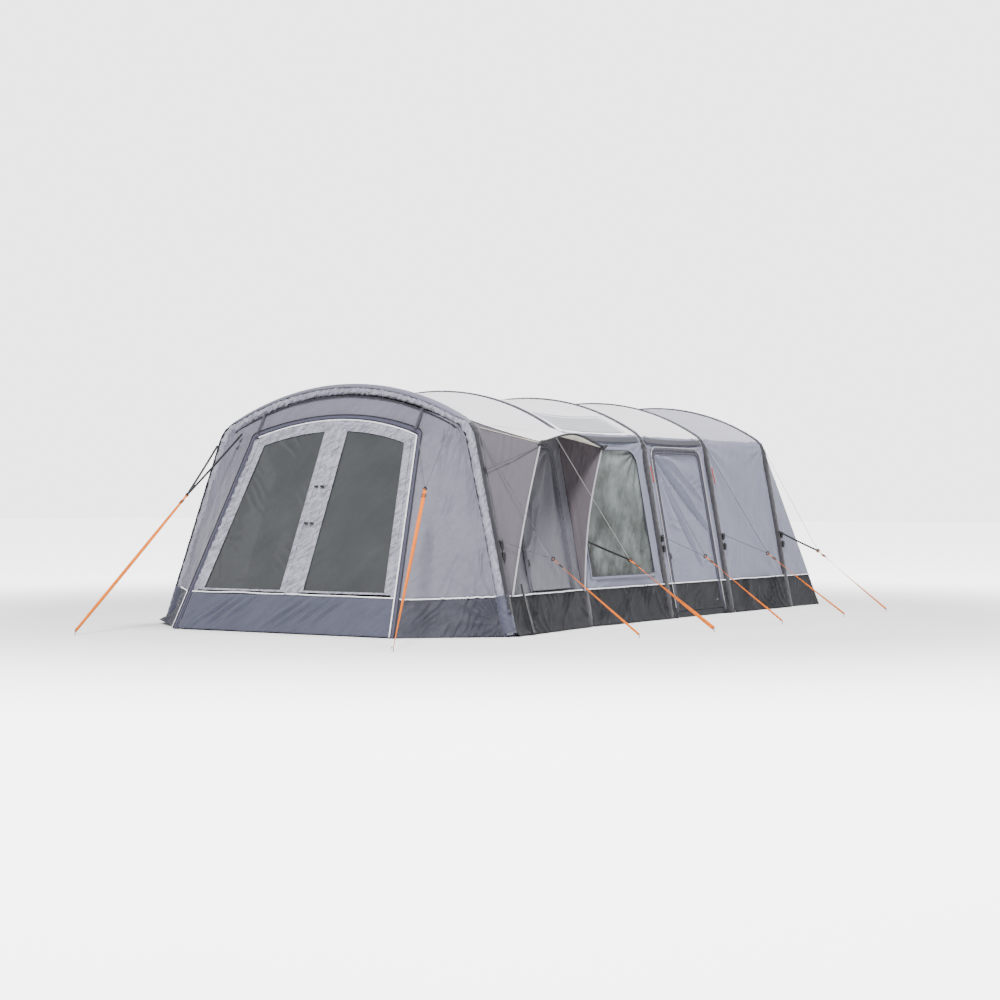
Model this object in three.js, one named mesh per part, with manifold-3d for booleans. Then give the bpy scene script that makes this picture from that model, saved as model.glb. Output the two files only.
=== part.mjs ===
// Tunnel tent held up by five air beams, in millimetres.
// Origin: middle of the groundsheet's underside. +Z up, front door towards -Y, porch on the +X side.
import * as THREE from 'three';
import { mergeVertices } from 'three/addons/utils/BufferGeometryUtils.js';
import Module from 'manifold-3d';

const wasm = await Module();
wasm.setup();

// ---- driving dimensions ----
const HEIGHT = 2150;
const BEAM_Y = [-2850, -1310, 210, 1500, 2870];
const FRONT_ARCH = { foot: 1910, shoulder: 1382, shoulderZ: 1772, lean: 245 };
const BODY_ARCH = { foot: 1735, shoulder: 1380, shoulderZ: 1735, lean: 65 };
const REAR_HEM = { y: 3560, half: 1760 };
const BEAM_RADIUS = 50;
const BEAM_PROUD = 8;
const SKIN = 5;
const GAP = 1.5;
const SEAM = BEAM_RADIUS + 8;

// Front door: a flat panel that leans back from its bottom edge.
const DOOR = {
  y: -3556, slope: 0.452, bottomHalf: 1151, cornerHalf: 887, cornerZ: 1677, crownZ: 1830,
  railZ: 318, railHeight: 20, border: 38, stripHalf: 70,
};
const FRONT_PANE = { inner: 125, outer: 112, top: 92, bottom: 385 };

// Openings in the side walls: foot positions along the wall, heights and corner radius.
const SIDE_WINDOW = { start: -1150, end: 30, low: 430, high: 1612, radius: 150 };
const SIDE_DOOR = { start: 370, end: 1320, low: 60, high: 1612, radius: 70 };
const PORCH_DOOR = { start: -2360, end: -1560, low: 350, high: 1590, radius: 70 };

// Porch canopy on the right of the first bay.
const PORCH = {
  frontCorner: [1830, -2300, 1630],
  rimTop: [1812, -1740, 1712],
  rearCorner: [1830, -1262, 1612],
  wingLow: 330,
  wingHigh: 1590,
  strutZ: 1380,
};

// Guy lines: each runs from its tabs to the ring where cord meets webbing, and on to its peg.
const GUY = { lowerZ: 800, cordRadius: 3, webWidth: 18, webThick: 3 };
const SIDE_GUYS = [
  { ring: [2140, -2608, 643], peg: [2850, -2414, 0], sides: ['right'] },
  { ring: [2140, -1312, 605], peg: [3000, -1370, 0], sides: ['right', 'left'] },
  { ring: [2140, 130, 605], peg: [3000, -10, 0], sides: ['right', 'left'] },
  { ring: [2140, 1475, 605], peg: [3000, 1390, 0], sides: ['right', 'left'] },
  { ring: [2140, 2686, 605], peg: [3000, 2440, 0], sides: ['right', 'left'] },
];
const FRONT_GUYS = {
  right: { ring: [1368, -3354, 1222], peg: [2060, -4740, 0] },
  left: { ring: [1272, -3300, 1178], peg: [1315, -4640, 0], tabs: [[1080, -2770, 1735], [1447, -2690, 1632]] },
};

// Bedroom hung inside the last bay.
const INNER = { foot: 1585, shoulder: 1235, shoulderZ: 1590, crown: 1945, front: 1650, rear: 3290 };

// ---- colours ----
const PALETTE = {
  roof: [0xd9d7dd, 0.8],
  wall: [0xa3a0aa, 0.8],
  trim: [0x5c5a68, 0.8],
  mauve: [0x8f878e, 0.85],
  skirt: [0x5b5f6e, 0.85],
  pane: [0x5f6566, 0.35],
  clear: [0x9aa5a2, 0.2],
  floor: [0x4a4d55, 0.9],
  inner: [0xd8d4c8, 0.9],
  cord: [0xe0904a, 0.8],
  hard: [0x1f1f22, 0.5],
};

const tent = new THREE.Group();

function addPart(name, geometry, colour) {
  const [hex, roughness] = PALETTE[colour];
  const material = new THREE.MeshStandardMaterial({ color: hex, roughness, metalness: 0 });
  const mesh = new THREE.Mesh(geometry, material);
  mesh.name = name;
  tent.add(mesh);
}

// ---- small tools ----
const vec = (x, y, z) => new THREE.Vector3(x, y, z);
const mix = THREE.MathUtils.lerp;

function remap(geometry, place) {
  const position = geometry.attributes.position;
  for (let i = 0; i < position.count; i++) {
    const p = place(position.getX(i), position.getY(i), position.getZ(i));
    position.setXYZ(i, p.x, p.y, p.z);
  }
  return geometry;
}

function mirrored(geometry) {
  const copy = weld(geometry);
  remap(copy, (x, y, z) => vec(-x, y, z));
  const index = copy.index.array;
  for (let i = 0; i < index.length; i += 3) {
    [index[i], index[i + 1]] = [index[i + 1], index[i]];
  }
  return copy;
}

function weld(geometry) {
  const copy = geometry.clone();
  copy.deleteAttribute('normal');
  copy.deleteAttribute('uv');
  return mergeVertices(copy, 1e-3);
}

function toSolid(geometry) {
  const welded = weld(geometry);
  return new wasm.Manifold(new wasm.Mesh({
    numProp: 3,
    vertProperties: new Float32Array(welded.attributes.position.array),
    triVerts: new Uint32Array(welded.index.array),
  }));
}

function toGeometry(solid) {
  const mesh = solid.getMesh();
  const geometry = new THREE.BufferGeometry();
  geometry.setAttribute('position', new THREE.BufferAttribute(mesh.vertProperties, 3));
  geometry.setIndex(new THREE.BufferAttribute(mesh.triVerts, 1));
  return geometry;
}

function cut(geometry, cutters) {
  let solid = toSolid(geometry);
  for (const cutter of cutters) {
    solid = solid.subtract(toSolid(cutter));
  }
  return toGeometry(solid);
}

function join(geometries) {
  let solid = toSolid(geometries[0]);
  for (const geometry of geometries.slice(1)) {
    solid = solid.add(toSolid(geometry));
  }
  return toGeometry(solid.simplify(0.02));
}

// A sheet of cloth: place(u, w) is its outer face, with u and w from 0 to 1.
// Its thickness lies on the side away from the cross product of the w and u directions.
// Nothing hangs below the ground.
function sheet(uSteps, wSteps, place, thickness = SKIN, lift = 0) {
  const nudge = 1e-3;
  const normalAt = (u, w) => {
    const along = place(Math.min(u + nudge, 1), w).sub(place(Math.max(u - nudge, 0), w));
    const across = place(u, Math.min(w + nudge, 1)).sub(place(u, Math.max(w - nudge, 0)));
    return across.cross(along).normalize();
  };
  const grid = new THREE.PlaneGeometry(1, 1, wSteps, uSteps);
  const flat = grid.attributes.position;
  const positions = [];
  for (const depth of [lift, lift - thickness]) {
    for (let i = 0; i < flat.count; i++) {
      const w = flat.getX(i) + 0.5;
      const u = flat.getY(i) + 0.5;
      const p = place(u, w).addScaledVector(normalAt(u, w), depth);
      positions.push(p.x, p.y, Math.max(p.z, 0));
    }
  }
  return closedShell(positions, Array.from(grid.index.array), flat.count);
}

// Joins a front face to its copy behind it, whose vertices follow after count, with a rim round the edge.
function closedShell(positions, face, count) {
  const index = [...face];
  const edges = new Set();
  for (let i = 0; i < face.length; i += 3) {
    const [a, b, c] = face.slice(i, i + 3);
    index.push(a + count, c + count, b + count);
    for (const [from, to] of [[a, b], [b, c], [c, a]]) {
      edges.add(`${from} ${to}`);
    }
  }
  for (const edge of edges) {
    const [from, to] = edge.split(' ').map(Number);
    if (!edges.has(`${to} ${from}`)) {
      index.push(to, from, from + count, to, from + count, to + count);
    }
  }
  const geometry = new THREE.BufferGeometry();
  geometry.setAttribute('position', new THREE.Float32BufferAttribute(positions, 3));
  geometry.setIndex(index);
  return geometry;
}

// A round cord or tube through the given points.
function tube(points, radius, sides = 8, stepsPerSpan = 1) {
  const path = new THREE.CurvePath();
  for (let i = 1; i < points.length; i++) {
    path.add(new THREE.LineCurve3(points[i - 1], points[i]));
  }
  const smooth = points.length > 2 ? new THREE.CatmullRomCurve3(points, false, 'centripetal') : path;
  const section = new THREE.Shape();
  for (let i = 0; i < sides; i++) {
    const turn = (i / sides) * 2 * Math.PI;
    const corner = [radius * Math.cos(turn), radius * Math.sin(turn)];
    if (i === 0) {
      section.moveTo(...corner);
    } else {
      section.lineTo(...corner);
    }
  }
  section.closePath();
  const steps = (points.length - 1) * stepsPerSpan;
  return new THREE.ExtrudeGeometry(section, { extrudePath: smooth, steps, bevelEnabled: false });
}

// A bar of rectangular section between two points, its width kept level.
function bar(start, end, width, thick) {
  const length = start.distanceTo(end);
  const geometry = new THREE.BoxGeometry(width, thick, length);
  const along = end.clone().sub(start).normalize();
  const level = vec(0, 0, 1).cross(along).normalize();
  const normal = along.clone().cross(level);
  const turn = new THREE.Matrix4().makeBasis(level, normal, along);
  turn.setPosition(start.clone().add(end).multiplyScalar(0.5));
  return geometry.applyMatrix4(turn);
}

// ---- the arch section ----
const LEG_STEPS = 2;
const CORNER_STEPS = 2;
const CROWN_STEPS = 12;
const ARCH_STEPS = 2 * (LEG_STEPS + CORNER_STEPS) + CROWN_STEPS;
const CORNER_REACH = 110;

// Points from the right foot over the crown to the left foot.
function archPoints({ foot, shoulder, shoulderZ, lean = 0, crown = HEIGHT }) {
  const rise = crown - shoulderZ;
  const radius = (shoulder ** 2 + rise ** 2) / (2 * rise);
  const half = Math.asin(shoulder / radius);
  const cornerTurn = CORNER_REACH / radius;
  const onCrown = (angle) => [radius * Math.sin(angle), crown - radius + radius * Math.cos(angle)];
  const legLength = Math.hypot(foot - shoulder, shoulderZ);
  const legEnd = 1 - CORNER_REACH / legLength;
  const onLeg = (t) => [mix(foot, shoulder, t), shoulderZ * t];
  const right = [];
  for (let i = 0; i <= LEG_STEPS; i++) {
    right.push(onLeg((legEnd * i) / LEG_STEPS));
  }
  const start = onLeg(legEnd);
  const end = onCrown(half - cornerTurn);
  for (let i = 1; i < CORNER_STEPS; i++) {
    const t = i / CORNER_STEPS;
    const bezier = (a, b, c) => (1 - t) ** 2 * a + 2 * t * (1 - t) * b + t ** 2 * c;
    right.push([bezier(start[0], shoulder, end[0]), bezier(start[1], shoulderZ, end[1])]);
  }
  for (let i = 0; i <= CROWN_STEPS / 2; i++) {
    right.push(onCrown((half - cornerTurn) * (1 - (2 * i) / CROWN_STEPS)));
  }
  const left = right.slice(0, -1).reverse().map(([x, z]) => [-x, z]);
  return [...right, ...left].map(([x, z]) => ({ x, z, back: (lean * z) / HEIGHT }));
}

function archAt(points, u) {
  const place = THREE.MathUtils.clamp(u, 0, 1) * ARCH_STEPS;
  const i = Math.min(Math.floor(place), ARCH_STEPS - 1);
  const t = place - i;
  const a = points[i];
  const b = points[i + 1];
  return { x: mix(a.x, b.x, t), z: mix(a.z, b.z, t), back: mix(a.back, b.back, t) };
}

const ARCHES = BEAM_Y.map((y, k) => (k === 0 ? FRONT_ARCH : BODY_ARCH));
const ARCH_LINES = ARCHES.map(archPoints);

// A point on the side wall: foot is the place along the ground, z the height.
function wallPoint(foot, z) {
  let k = 0;
  while (k < BEAM_Y.length - 2 && foot > BEAM_Y[k + 1]) {
    k++;
  }
  const t = (foot - BEAM_Y[k]) / (BEAM_Y[k + 1] - BEAM_Y[k]);
  const wallX = (arch) => mix(arch.foot, arch.shoulder, z / arch.shoulderZ);
  const x = mix(wallX(ARCHES[k]), wallX(ARCHES[k + 1]), t);
  const lean = mix(ARCHES[k].lean, ARCHES[k + 1].lean, t);
  return vec(x, foot + (lean * z) / HEIGHT, z);
}

// ---- air beams ----
function airBeam(k) {
  const inset = BEAM_RADIUS - BEAM_PROUD;
  const arch = ARCHES[k];
  const line = archPoints({
    ...arch, foot: arch.foot - inset, shoulder: arch.shoulder - inset,
    shoulderZ: arch.shoulderZ - inset / 2, crown: HEIGHT - inset,
  });
  const points = line.map(({ x, z, back }) => vec(x, BEAM_Y[k] + back, Math.max(z, 16)));
  return tube(points, BEAM_RADIUS, 10, 1);
}

BEAM_Y.forEach((y, k) => addPart(`air_beam_${k + 1}`, airBeam(k), 'trim'));

// ---- fly sheet between the beams ----
function bayPlace(k) {
  const front = ARCH_LINES[k];
  const rear = ARCH_LINES[k + 1];
  return (u, w) => {
    const a = archAt(front, u);
    const b = archAt(rear, u);
    const y = mix(BEAM_Y[k] + a.back + SEAM, BEAM_Y[k + 1] + b.back - SEAM, w);
    const span = BEAM_Y[k + 1] - BEAM_Y[k];
    const t = mix(SEAM / span, 1 - SEAM / span, w);
    return vec(mix(a.x, b.x, t), y, mix(a.z, b.z, t));
  };
}

// Outline of a door or window in foot position and height, grown on all sides.
function openingShape({ start, end, low, high, radius }, grow = 0) {
  const shape = new THREE.Shape();
  const round = radius + grow;
  shape.moveTo(start - grow, low - grow);
  shape.lineTo(end + grow, low - grow);
  shape.lineTo(end + grow, high + grow - round);
  shape.absarc(end + grow - round, high + grow - round, round, 0, Math.PI / 2);
  shape.absarc(start - grow + round, high + grow - round, round, Math.PI / 2, Math.PI);
  shape.closePath();
  return shape;
}

// A flat shape laid on the right wall, from depth below the outer face to lift above it.
function onWall(shape, depth = SKIN, lift = 0) {
  const slab = new THREE.ExtrudeGeometry(shape, { depth: depth + lift, bevelEnabled: false, curveSegments: 5 });
  return remap(slab, (foot, z, out) => {
    const p = wallPoint(foot, z);
    p.x += out - depth;
    return p;
  });
}

const wallCutter = (opening) => onWall(openingShape(opening, 0), 60, 60);
const wallPanel = (opening, thickness = SKIN) => onWall(openingShape(opening, -GAP), thickness);

// Roof light: two crown facets next to each shoulder of the second bay.
const LIGHT = { uStart: 4 / ARCH_STEPS, uEnd: 5.5 / ARCH_STEPS, wStart: 0.12, wEnd: 0.9 };

function roofLight(shrink, thickness, lift) {
  const place = bayPlace(1);
  const du = shrink / 5000;
  const dw = shrink / 1400;
  return sheet(3, 1, (u, w) => place(
    mix(LIGHT.uStart + du, LIGHT.uEnd - du, u),
    mix(LIGHT.wStart + dw, LIGHT.wEnd - dw, w),
  ), thickness, lift);
}

const bayCutters = [
  [wallCutter(PORCH_DOOR)],
  [
    wallCutter(SIDE_WINDOW), mirrored(wallCutter(SIDE_WINDOW)),
    roofLight(0, 60, 30), mirrored(roofLight(0, 60, 30)),
  ],
  [wallCutter(SIDE_DOOR)],
  [],
];

bayCutters.forEach((cutters, k) => {
  addPart(`fly_bay_${k + 1}`, cut(sheet(ARCH_STEPS, 1, bayPlace(k)), cutters), k < 3 ? 'roof' : 'wall');
});

addPart('side_window_right', wallPanel(SIDE_WINDOW, 3), 'clear');
addPart('side_window_left', mirrored(wallPanel(SIDE_WINDOW, 3)), 'clear');
addPart('roof_light_right', roofLight(GAP, 3, 0), 'clear');
addPart('roof_light_left', mirrored(roofLight(GAP, 3, 0)), 'clear');
addPart('side_door', wallPanel(SIDE_DOOR), 'wall');
addPart('porch_door', wallPanel(PORCH_DOOR), 'wall');

// ---- rear end ----
function rearWall() {
  const line = ARCH_LINES[4];
  const first = LEG_STEPS + CORNER_STEPS;
  return sheet(ARCH_STEPS, 1, (u, w) => {
    const top = archAt(line, u);
    const step = u * ARCH_STEPS;
    const start = vec(top.x, BEAM_Y[4] + top.back + SEAM, top.z);
    const near = BEAM_Y[4] + SEAM + 60;
    let hem;
    if (step <= first) {
      hem = vec(mix(BODY_ARCH.foot, REAR_HEM.half, step / first), mix(near, REAR_HEM.y, step / first), 0);
    } else if (step >= ARCH_STEPS - first) {
      const t = (ARCH_STEPS - step) / first;
      hem = vec(-mix(BODY_ARCH.foot, REAR_HEM.half, t), mix(near, REAR_HEM.y, t), 0);
    } else {
      const t = (step - first) / (ARCH_STEPS - 2 * first);
      hem = vec(mix(REAR_HEM.half, -REAR_HEM.half, t), REAR_HEM.y, 0);
    }
    return start.lerp(hem, w);
  });
}

addPart('rear_wall', rearWall(), 'wall');

// ---- front end ----
const doorY = (z) => DOOR.y + DOOR.slope * z;
const doorHalf = (z) => mix(DOOR.bottomHalf, DOOR.cornerHalf, z / DOOR.cornerZ);
const crownRise = DOOR.crownZ - DOOR.cornerZ;
const crownRadius = (DOOR.cornerHalf ** 2 + crownRise ** 2) / (2 * crownRise);
const doorTop = (x) => DOOR.crownZ - crownRadius + Math.sqrt(crownRadius ** 2 - x ** 2);

// A flat shape in x and z laid on the leaning front plane.
function onDoorPlane(shape, thickness = SKIN, depth = 0) {
  const slab = new THREE.ExtrudeGeometry(shape, { depth: depth + thickness, bevelEnabled: false });
  return remap(slab, (x, z, out) => vec(x, doorY(z) + depth - out, z));
}

// Outline between two sides, a bottom and the door's arched top, inset from the arch and the slanting side.
function doorRegion(inner, outerInset, bottom, topInset) {
  const sideX = (z) => doorHalf(z) - outerInset;
  const cornerX = DOOR.cornerHalf - outerInset;
  const cornerZ = doorTop(cornerX) - topInset;
  const points = [new THREE.Vector2(inner, bottom), new THREE.Vector2(sideX(bottom), bottom)];
  const steps = 6;
  for (let i = 0; i <= steps; i++) {
    const x = mix(cornerX, inner, i / steps);
    points.push(new THREE.Vector2(x, i === 0 ? cornerZ : doorTop(x) - topInset));
  }
  return points;
}

const mirrorPoints = (points) => points.map((p) => new THREE.Vector2(-p.x, p.y)).reverse();

function doorFrame() {
  const right = doorRegion(0, 0, DOOR.railZ, 0);
  const outline = [...right.slice(1), ...mirrorPoints(right.slice(1, -1))];
  const bottom = DOOR.railZ + DOOR.railHeight;
  const hole = doorRegion(DOOR.stripHalf, DOOR.border, bottom, DOOR.border);
  const cutter = onDoorPlane(new THREE.Shape(hole), 20, 20);
  return cut(onDoorPlane(new THREE.Shape(outline)), [cutter, mirrored(cutter)]);
}

// The leaves keep a wider gap round their free edges, so that they clear the frame as they turn.
const LEAF_GAP = 5;

function leafOutline() {
  const bottom = DOOR.railZ + DOOR.railHeight + LEAF_GAP;
  return doorRegion(DOOR.stripHalf + GAP, DOOR.border + LEAF_GAP, bottom, DOOR.border + LEAF_GAP);
}

const paneOutline = (grow) => doorRegion(
  FRONT_PANE.inner - grow, FRONT_PANE.outer - grow, FRONT_PANE.bottom - grow, FRONT_PANE.top - grow,
);

function frontLeaf() {
  const shape = new THREE.Shape(leafOutline());
  shape.holes.push(new THREE.Path(paneOutline(0)));
  return onDoorPlane(shape);
}

const frontPane = () => onDoorPlane(new THREE.Shape(paneOutline(-GAP)), 3);

addPart('front_door_frame', doorFrame(), 'wall');
addPart('front_leaf_right', frontLeaf(), 'wall');
addPart('front_leaf_left', mirrored(frontLeaf()), 'wall');
addPart('front_window_right', frontPane(), 'pane');
addPart('front_window_left', mirrored(frontPane()), 'pane');

function frontThreshold() {
  const low = 6;
  const high = DOOR.railZ - GAP;
  const shape = new THREE.Shape([
    new THREE.Vector2(-doorHalf(low), low), new THREE.Vector2(doorHalf(low), low),
    new THREE.Vector2(doorHalf(high), high), new THREE.Vector2(-doorHalf(high), high),
  ]);
  return onDoorPlane(shape);
}

addPart('front_threshold', frontThreshold(), 'skirt');

// Panels between the door frame and the front beam: one wing each side and the hood above.
const WING_STEPS = LEG_STEPS + CORNER_STEPS;
const FRONT_MARGIN = 4;

function frontWing() {
  return sheet(WING_STEPS, 1, (u, w) => {
    const arch = archAt(ARCH_LINES[0], (u * WING_STEPS) / ARCH_STEPS);
    const z = (arch.z * DOOR.cornerZ) / archAt(ARCH_LINES[0], WING_STEPS / ARCH_STEPS).z;
    const frame = vec(doorHalf(z) + FRONT_MARGIN, doorY(z), z);
    const beam = vec(arch.x, BEAM_Y[0] + arch.back - SEAM, arch.z);
    return frame.lerp(beam, w);
  });
}

function frontHood() {
  const steps = ARCH_STEPS - 2 * WING_STEPS;
  return sheet(steps, 1, (u, w) => {
    const arch = archAt(ARCH_LINES[0], mix(WING_STEPS, ARCH_STEPS - WING_STEPS, u) / ARCH_STEPS);
    const x = mix(DOOR.cornerHalf - FRONT_MARGIN, FRONT_MARGIN - DOOR.cornerHalf, u);
    const z = doorTop(x) + FRONT_MARGIN;
    const frame = vec(x, doorY(z), z);
    const beam = vec(arch.x, BEAM_Y[0] + arch.back - SEAM, arch.z);
    const margin = u === 0 || u === 1 ? FRONT_MARGIN : 0;
    beam.x -= Math.sign(beam.x) * margin;
    return frame.lerp(beam, w);
  });
}

addPart('front_wing_right', frontWing(), 'wall');
addPart('front_wing_left', mirrored(frontWing()), 'wall');
addPart('front_hood', frontHood(), 'wall');

// ---- porch canopy ----
const WING_LIFT = 9;
const corner = {
  front: vec(...PORCH.frontCorner),
  top: vec(...PORCH.rimTop),
  rear: vec(...PORCH.rearCorner),
};
const rimCurve = new THREE.CatmullRomCurve3([corner.front, corner.top, corner.rear]);

function porchCanopy() {
  const edge = bayPlace(0);
  const shoulderU = (LEG_STEPS + CORNER_STEPS) / ARCH_STEPS;
  return sheet(2, 6, (u, w) => {
    const roof = edge(shoulderU, w);
    roof.x += 8;
    roof.z += 8;
    return rimCurve.getPoint(w).lerp(roof, u);
  });
}

addPart('porch_canopy', porchCanopy(), 'roof');

function porchWing(foot, tip) {
  return sheet(2, 2, (u, w) => {
    const z = mix(PORCH.wingLow, PORCH.wingHigh, u);
    const inner = wallPoint(foot, z);
    inner.x += WING_LIFT;
    const outer = wallPoint(foot, PORCH.wingLow);
    outer.x += WING_LIFT + 30;
    outer.lerp(vec(tip.x - 6, tip.y, tip.z - 24), u);
    return inner.lerp(outer, w);
  });
}

addPart('porch_wing_front', porchWing(BEAM_Y[0] + SEAM + 22, corner.front), 'mauve');
addPart('porch_wing_rear', porchWing(BEAM_Y[1] - SEAM - 22, corner.rear), 'mauve');

const rimPoints = rimCurve.getPoints(8).map((p) => p.add(vec(11, 0, -3)));
addPart('porch_rim', tube(rimPoints, 8), 'hard');

function porchStrut(tip, foot) {
  const tab = wallPoint(foot, PORCH.strutZ);
  tab.x += BEAM_PROUD + 8;
  return tube([tip.clone().add(vec(-12, 0, -46)), tab], GUY.cordRadius);
}

addPart('porch_strut_front', porchStrut(corner.front.clone().add(vec(0, -20, 0)), BEAM_Y[0]), 'hard');
addPart('porch_strut_rear', porchStrut(corner.rear.clone().add(vec(0, 40, 0)), BEAM_Y[1]), 'hard');

// ---- groundsheet and bedroom ----
function groundsheet() {
  const rearEnd = 3500;
  const half = 1625;
  const shape = new THREE.Shape([
    new THREE.Vector2(-1085, -3500), new THREE.Vector2(1085, -3500),
    new THREE.Vector2(half, -3030), new THREE.Vector2(half, rearEnd),
    new THREE.Vector2(-half, rearEnd), new THREE.Vector2(-half, -3030),
  ]);
  return new THREE.ExtrudeGeometry(shape, { depth: 4, bevelEnabled: false });
}

addPart('groundsheet', groundsheet(), 'floor');

function innerTent() {
  const bedroom = (shrink) => {
    const line = archPoints({
      foot: INNER.foot - shrink, shoulder: INNER.shoulder - shrink,
      shoulderZ: INNER.shoulderZ - shrink / 2, crown: INNER.crown - shrink,
    });
    const shape = new THREE.Shape(line.map(({ x, z }) => new THREE.Vector2(x, z)));
    const block = new THREE.ExtrudeGeometry(shape, { depth: 1, bevelEnabled: false });
    const floor = 6 + shrink;
    return remap(block, (x, z, t) => {
      const back = INNER.rear - shrink - 0.24 * z;
      return vec(x, mix(back, INNER.front + shrink, t), Math.max(z, floor));
    });
  };
  const doorway = new THREE.BoxGeometry(1300, 60, 1450).translate(0, INNER.front, 870);
  return cut(bedroom(0), [bedroom(6), doorway]);
}

addPart('inner_tent', innerTent(), 'inner');

// ---- guy lines ----
function peg(at) {
  const shaft = new THREE.BoxGeometry(8, 8, 40).translate(at.x, at.y, 20);
  const hook = new THREE.BoxGeometry(36, 8, 8).translate(at.x, at.y, 36);
  return [shaft, hook];
}

function guyLine(anchors, ring, at) {
  const top = vec(at.x, at.y, 30);
  const legs = anchors.map((anchor) => tube([anchor, ring], GUY.cordRadius));
  const junction = new THREE.SphereGeometry(14, 8, 6).translate(ring.x, ring.y, ring.z);
  return join([bar(ring, top, GUY.webWidth, GUY.webThick), junction, ...legs, ...peg(at)]);
}

// The runner is a flat buckle round the webbing, just below the junction.
function runner(ring, at) {
  const top = vec(at.x, at.y, 30);
  const along = top.clone().sub(ring).normalize();
  const start = ring.clone().addScaledVector(along, 70);
  const end = ring.clone().addScaledVector(along, 110);
  const hole = bar(
    start.clone().addScaledVector(along, -10), end.clone().addScaledVector(along, 10),
    GUY.webWidth + 4, GUY.webThick + 4,
  );
  return cut(bar(start, end, GUY.webWidth + 18, GUY.webThick + 12), [hole]);
}

// Places are given for the right side; a left-hand guy is the mirror image of what is given.
function addGuy(side, name, anchors, ring, at) {
  const line = guyLine(anchors, vec(...ring), vec(...at));
  const buckle = runner(vec(...ring), vec(...at));
  addPart(`guy_${side}_${name}`, side === 'right' ? line : mirrored(line), 'cord');
  addPart(`runner_${side}_${name}`, side === 'right' ? buckle : mirrored(buckle), 'hard');
}

SIDE_GUYS.forEach(({ ring, peg: at, sides }, k) => {
  const corner = ARCH_LINES[k][LEG_STEPS + 1];
  const high = vec(corner.x + 16, BEAM_Y[k] + corner.back, corner.z);
  const low = wallPoint(BEAM_Y[k], GUY.lowerZ);
  low.x += BEAM_PROUD + 5;
  const rim = rimCurve.getPoint(0.2).add(vec(26, 0, -6));
  for (const side of sides) {
    const upper = k === 1 && side === 'right' ? rim : high;
    addGuy(side, `${k + 1}`, [upper, low], ring, at);
  }
});

// The right front guy starts from the front beam's shoulder and from the door frame's corner.
const frontArch = ARCH_LINES[0];
const beamTab = archAt(frontArch, (LEG_STEPS + CORNER_STEPS + 0.4) / ARCH_STEPS);
const rightTabs = [
  vec(beamTab.x, BEAM_Y[0] + beamTab.back - SEAM - 16, beamTab.z - 20),
  vec(DOOR.cornerHalf + 30, doorY(DOOR.cornerZ) - 16, DOOR.cornerZ - 10),
];
addGuy('right', 'front', rightTabs, FRONT_GUYS.right.ring, FRONT_GUYS.right.peg);

// The left one starts from the seam above the door's corner and from the outside of the beam.
const leftTabs = FRONT_GUYS.left.tabs.map((tab) => vec(...tab));
addGuy('left', 'front', leftTabs, FRONT_GUYS.left.ring, FRONT_GUYS.left.peg);

export default tent;
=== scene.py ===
"""Looks of the tunnel tent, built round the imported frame. Metres, in the frame's own axes:
+Z up, front door towards -Y, porch and side door on the +X side."""
import math

import bpy
import numpy as np
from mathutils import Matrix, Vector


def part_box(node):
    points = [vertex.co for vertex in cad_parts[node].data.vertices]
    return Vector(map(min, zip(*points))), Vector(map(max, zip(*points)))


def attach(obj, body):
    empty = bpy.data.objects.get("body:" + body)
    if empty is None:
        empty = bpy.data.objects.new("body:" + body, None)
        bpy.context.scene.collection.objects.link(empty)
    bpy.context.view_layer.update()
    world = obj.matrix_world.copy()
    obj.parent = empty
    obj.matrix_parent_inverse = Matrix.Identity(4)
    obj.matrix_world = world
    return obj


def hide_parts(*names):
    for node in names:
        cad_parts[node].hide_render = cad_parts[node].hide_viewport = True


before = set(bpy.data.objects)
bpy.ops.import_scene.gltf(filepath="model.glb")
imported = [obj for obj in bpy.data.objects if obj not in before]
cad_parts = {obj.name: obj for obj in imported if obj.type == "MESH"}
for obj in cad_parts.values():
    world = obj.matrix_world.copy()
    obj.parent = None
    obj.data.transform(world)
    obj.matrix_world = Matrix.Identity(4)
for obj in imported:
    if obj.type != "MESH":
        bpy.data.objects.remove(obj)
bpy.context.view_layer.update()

# ---- driving sizes, the same as the CAD part's ----
BEAM_RADIUS = 0.050
BEAM_PROUD = 0.008
BEAM_INSET = BEAM_RADIUS - BEAM_PROUD
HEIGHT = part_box("fly_bay_2")[1].z
BEAM_Y = [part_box(f"air_beam_{k}")[0].y + BEAM_RADIUS for k in range(1, 6)]
FRONT_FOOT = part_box("front_wing_right")[1].x
BODY_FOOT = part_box("fly_bay_4")[1].x
REAR_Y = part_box("rear_wall")[1].y
REAR_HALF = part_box("rear_wall")[1].x
FRONT_SHOULDER = (1.382, 1.772)
BODY_SHOULDER = (1.380, 1.735)
FRONT_LEAN = 0.245
BODY_LEAN = 0.065
CORNER_REACH = 0.110
SKIRT_Z = 0.33

DOOR_Y = -3.556
DOOR_SLOPE = 0.452
DOOR_BOTTOM = 1.151
DOOR_CORNER = 0.887
DOOR_CORNER_Z = 1.677
DOOR_CROWN_Z = 1.830
DOOR_RAIL = 0.318

SIDE_WINDOW = dict(start=-1.150, end=0.030, low=0.430, high=1.612, radius=0.150)
SIDE_DOOR = dict(start=0.370, end=1.320, low=0.060, high=1.612, radius=0.070)
PORCH_DOOR = dict(start=-2.360, end=-1.560, low=0.350, high=1.590, radius=0.070)

RIM_FRONT = np.array([1.830, -2.300, 1.630])
RIM_TOP = np.array([1.812, -1.740, 1.712])
RIM_REAR = np.array([1.830, -1.262, 1.612])

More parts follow.
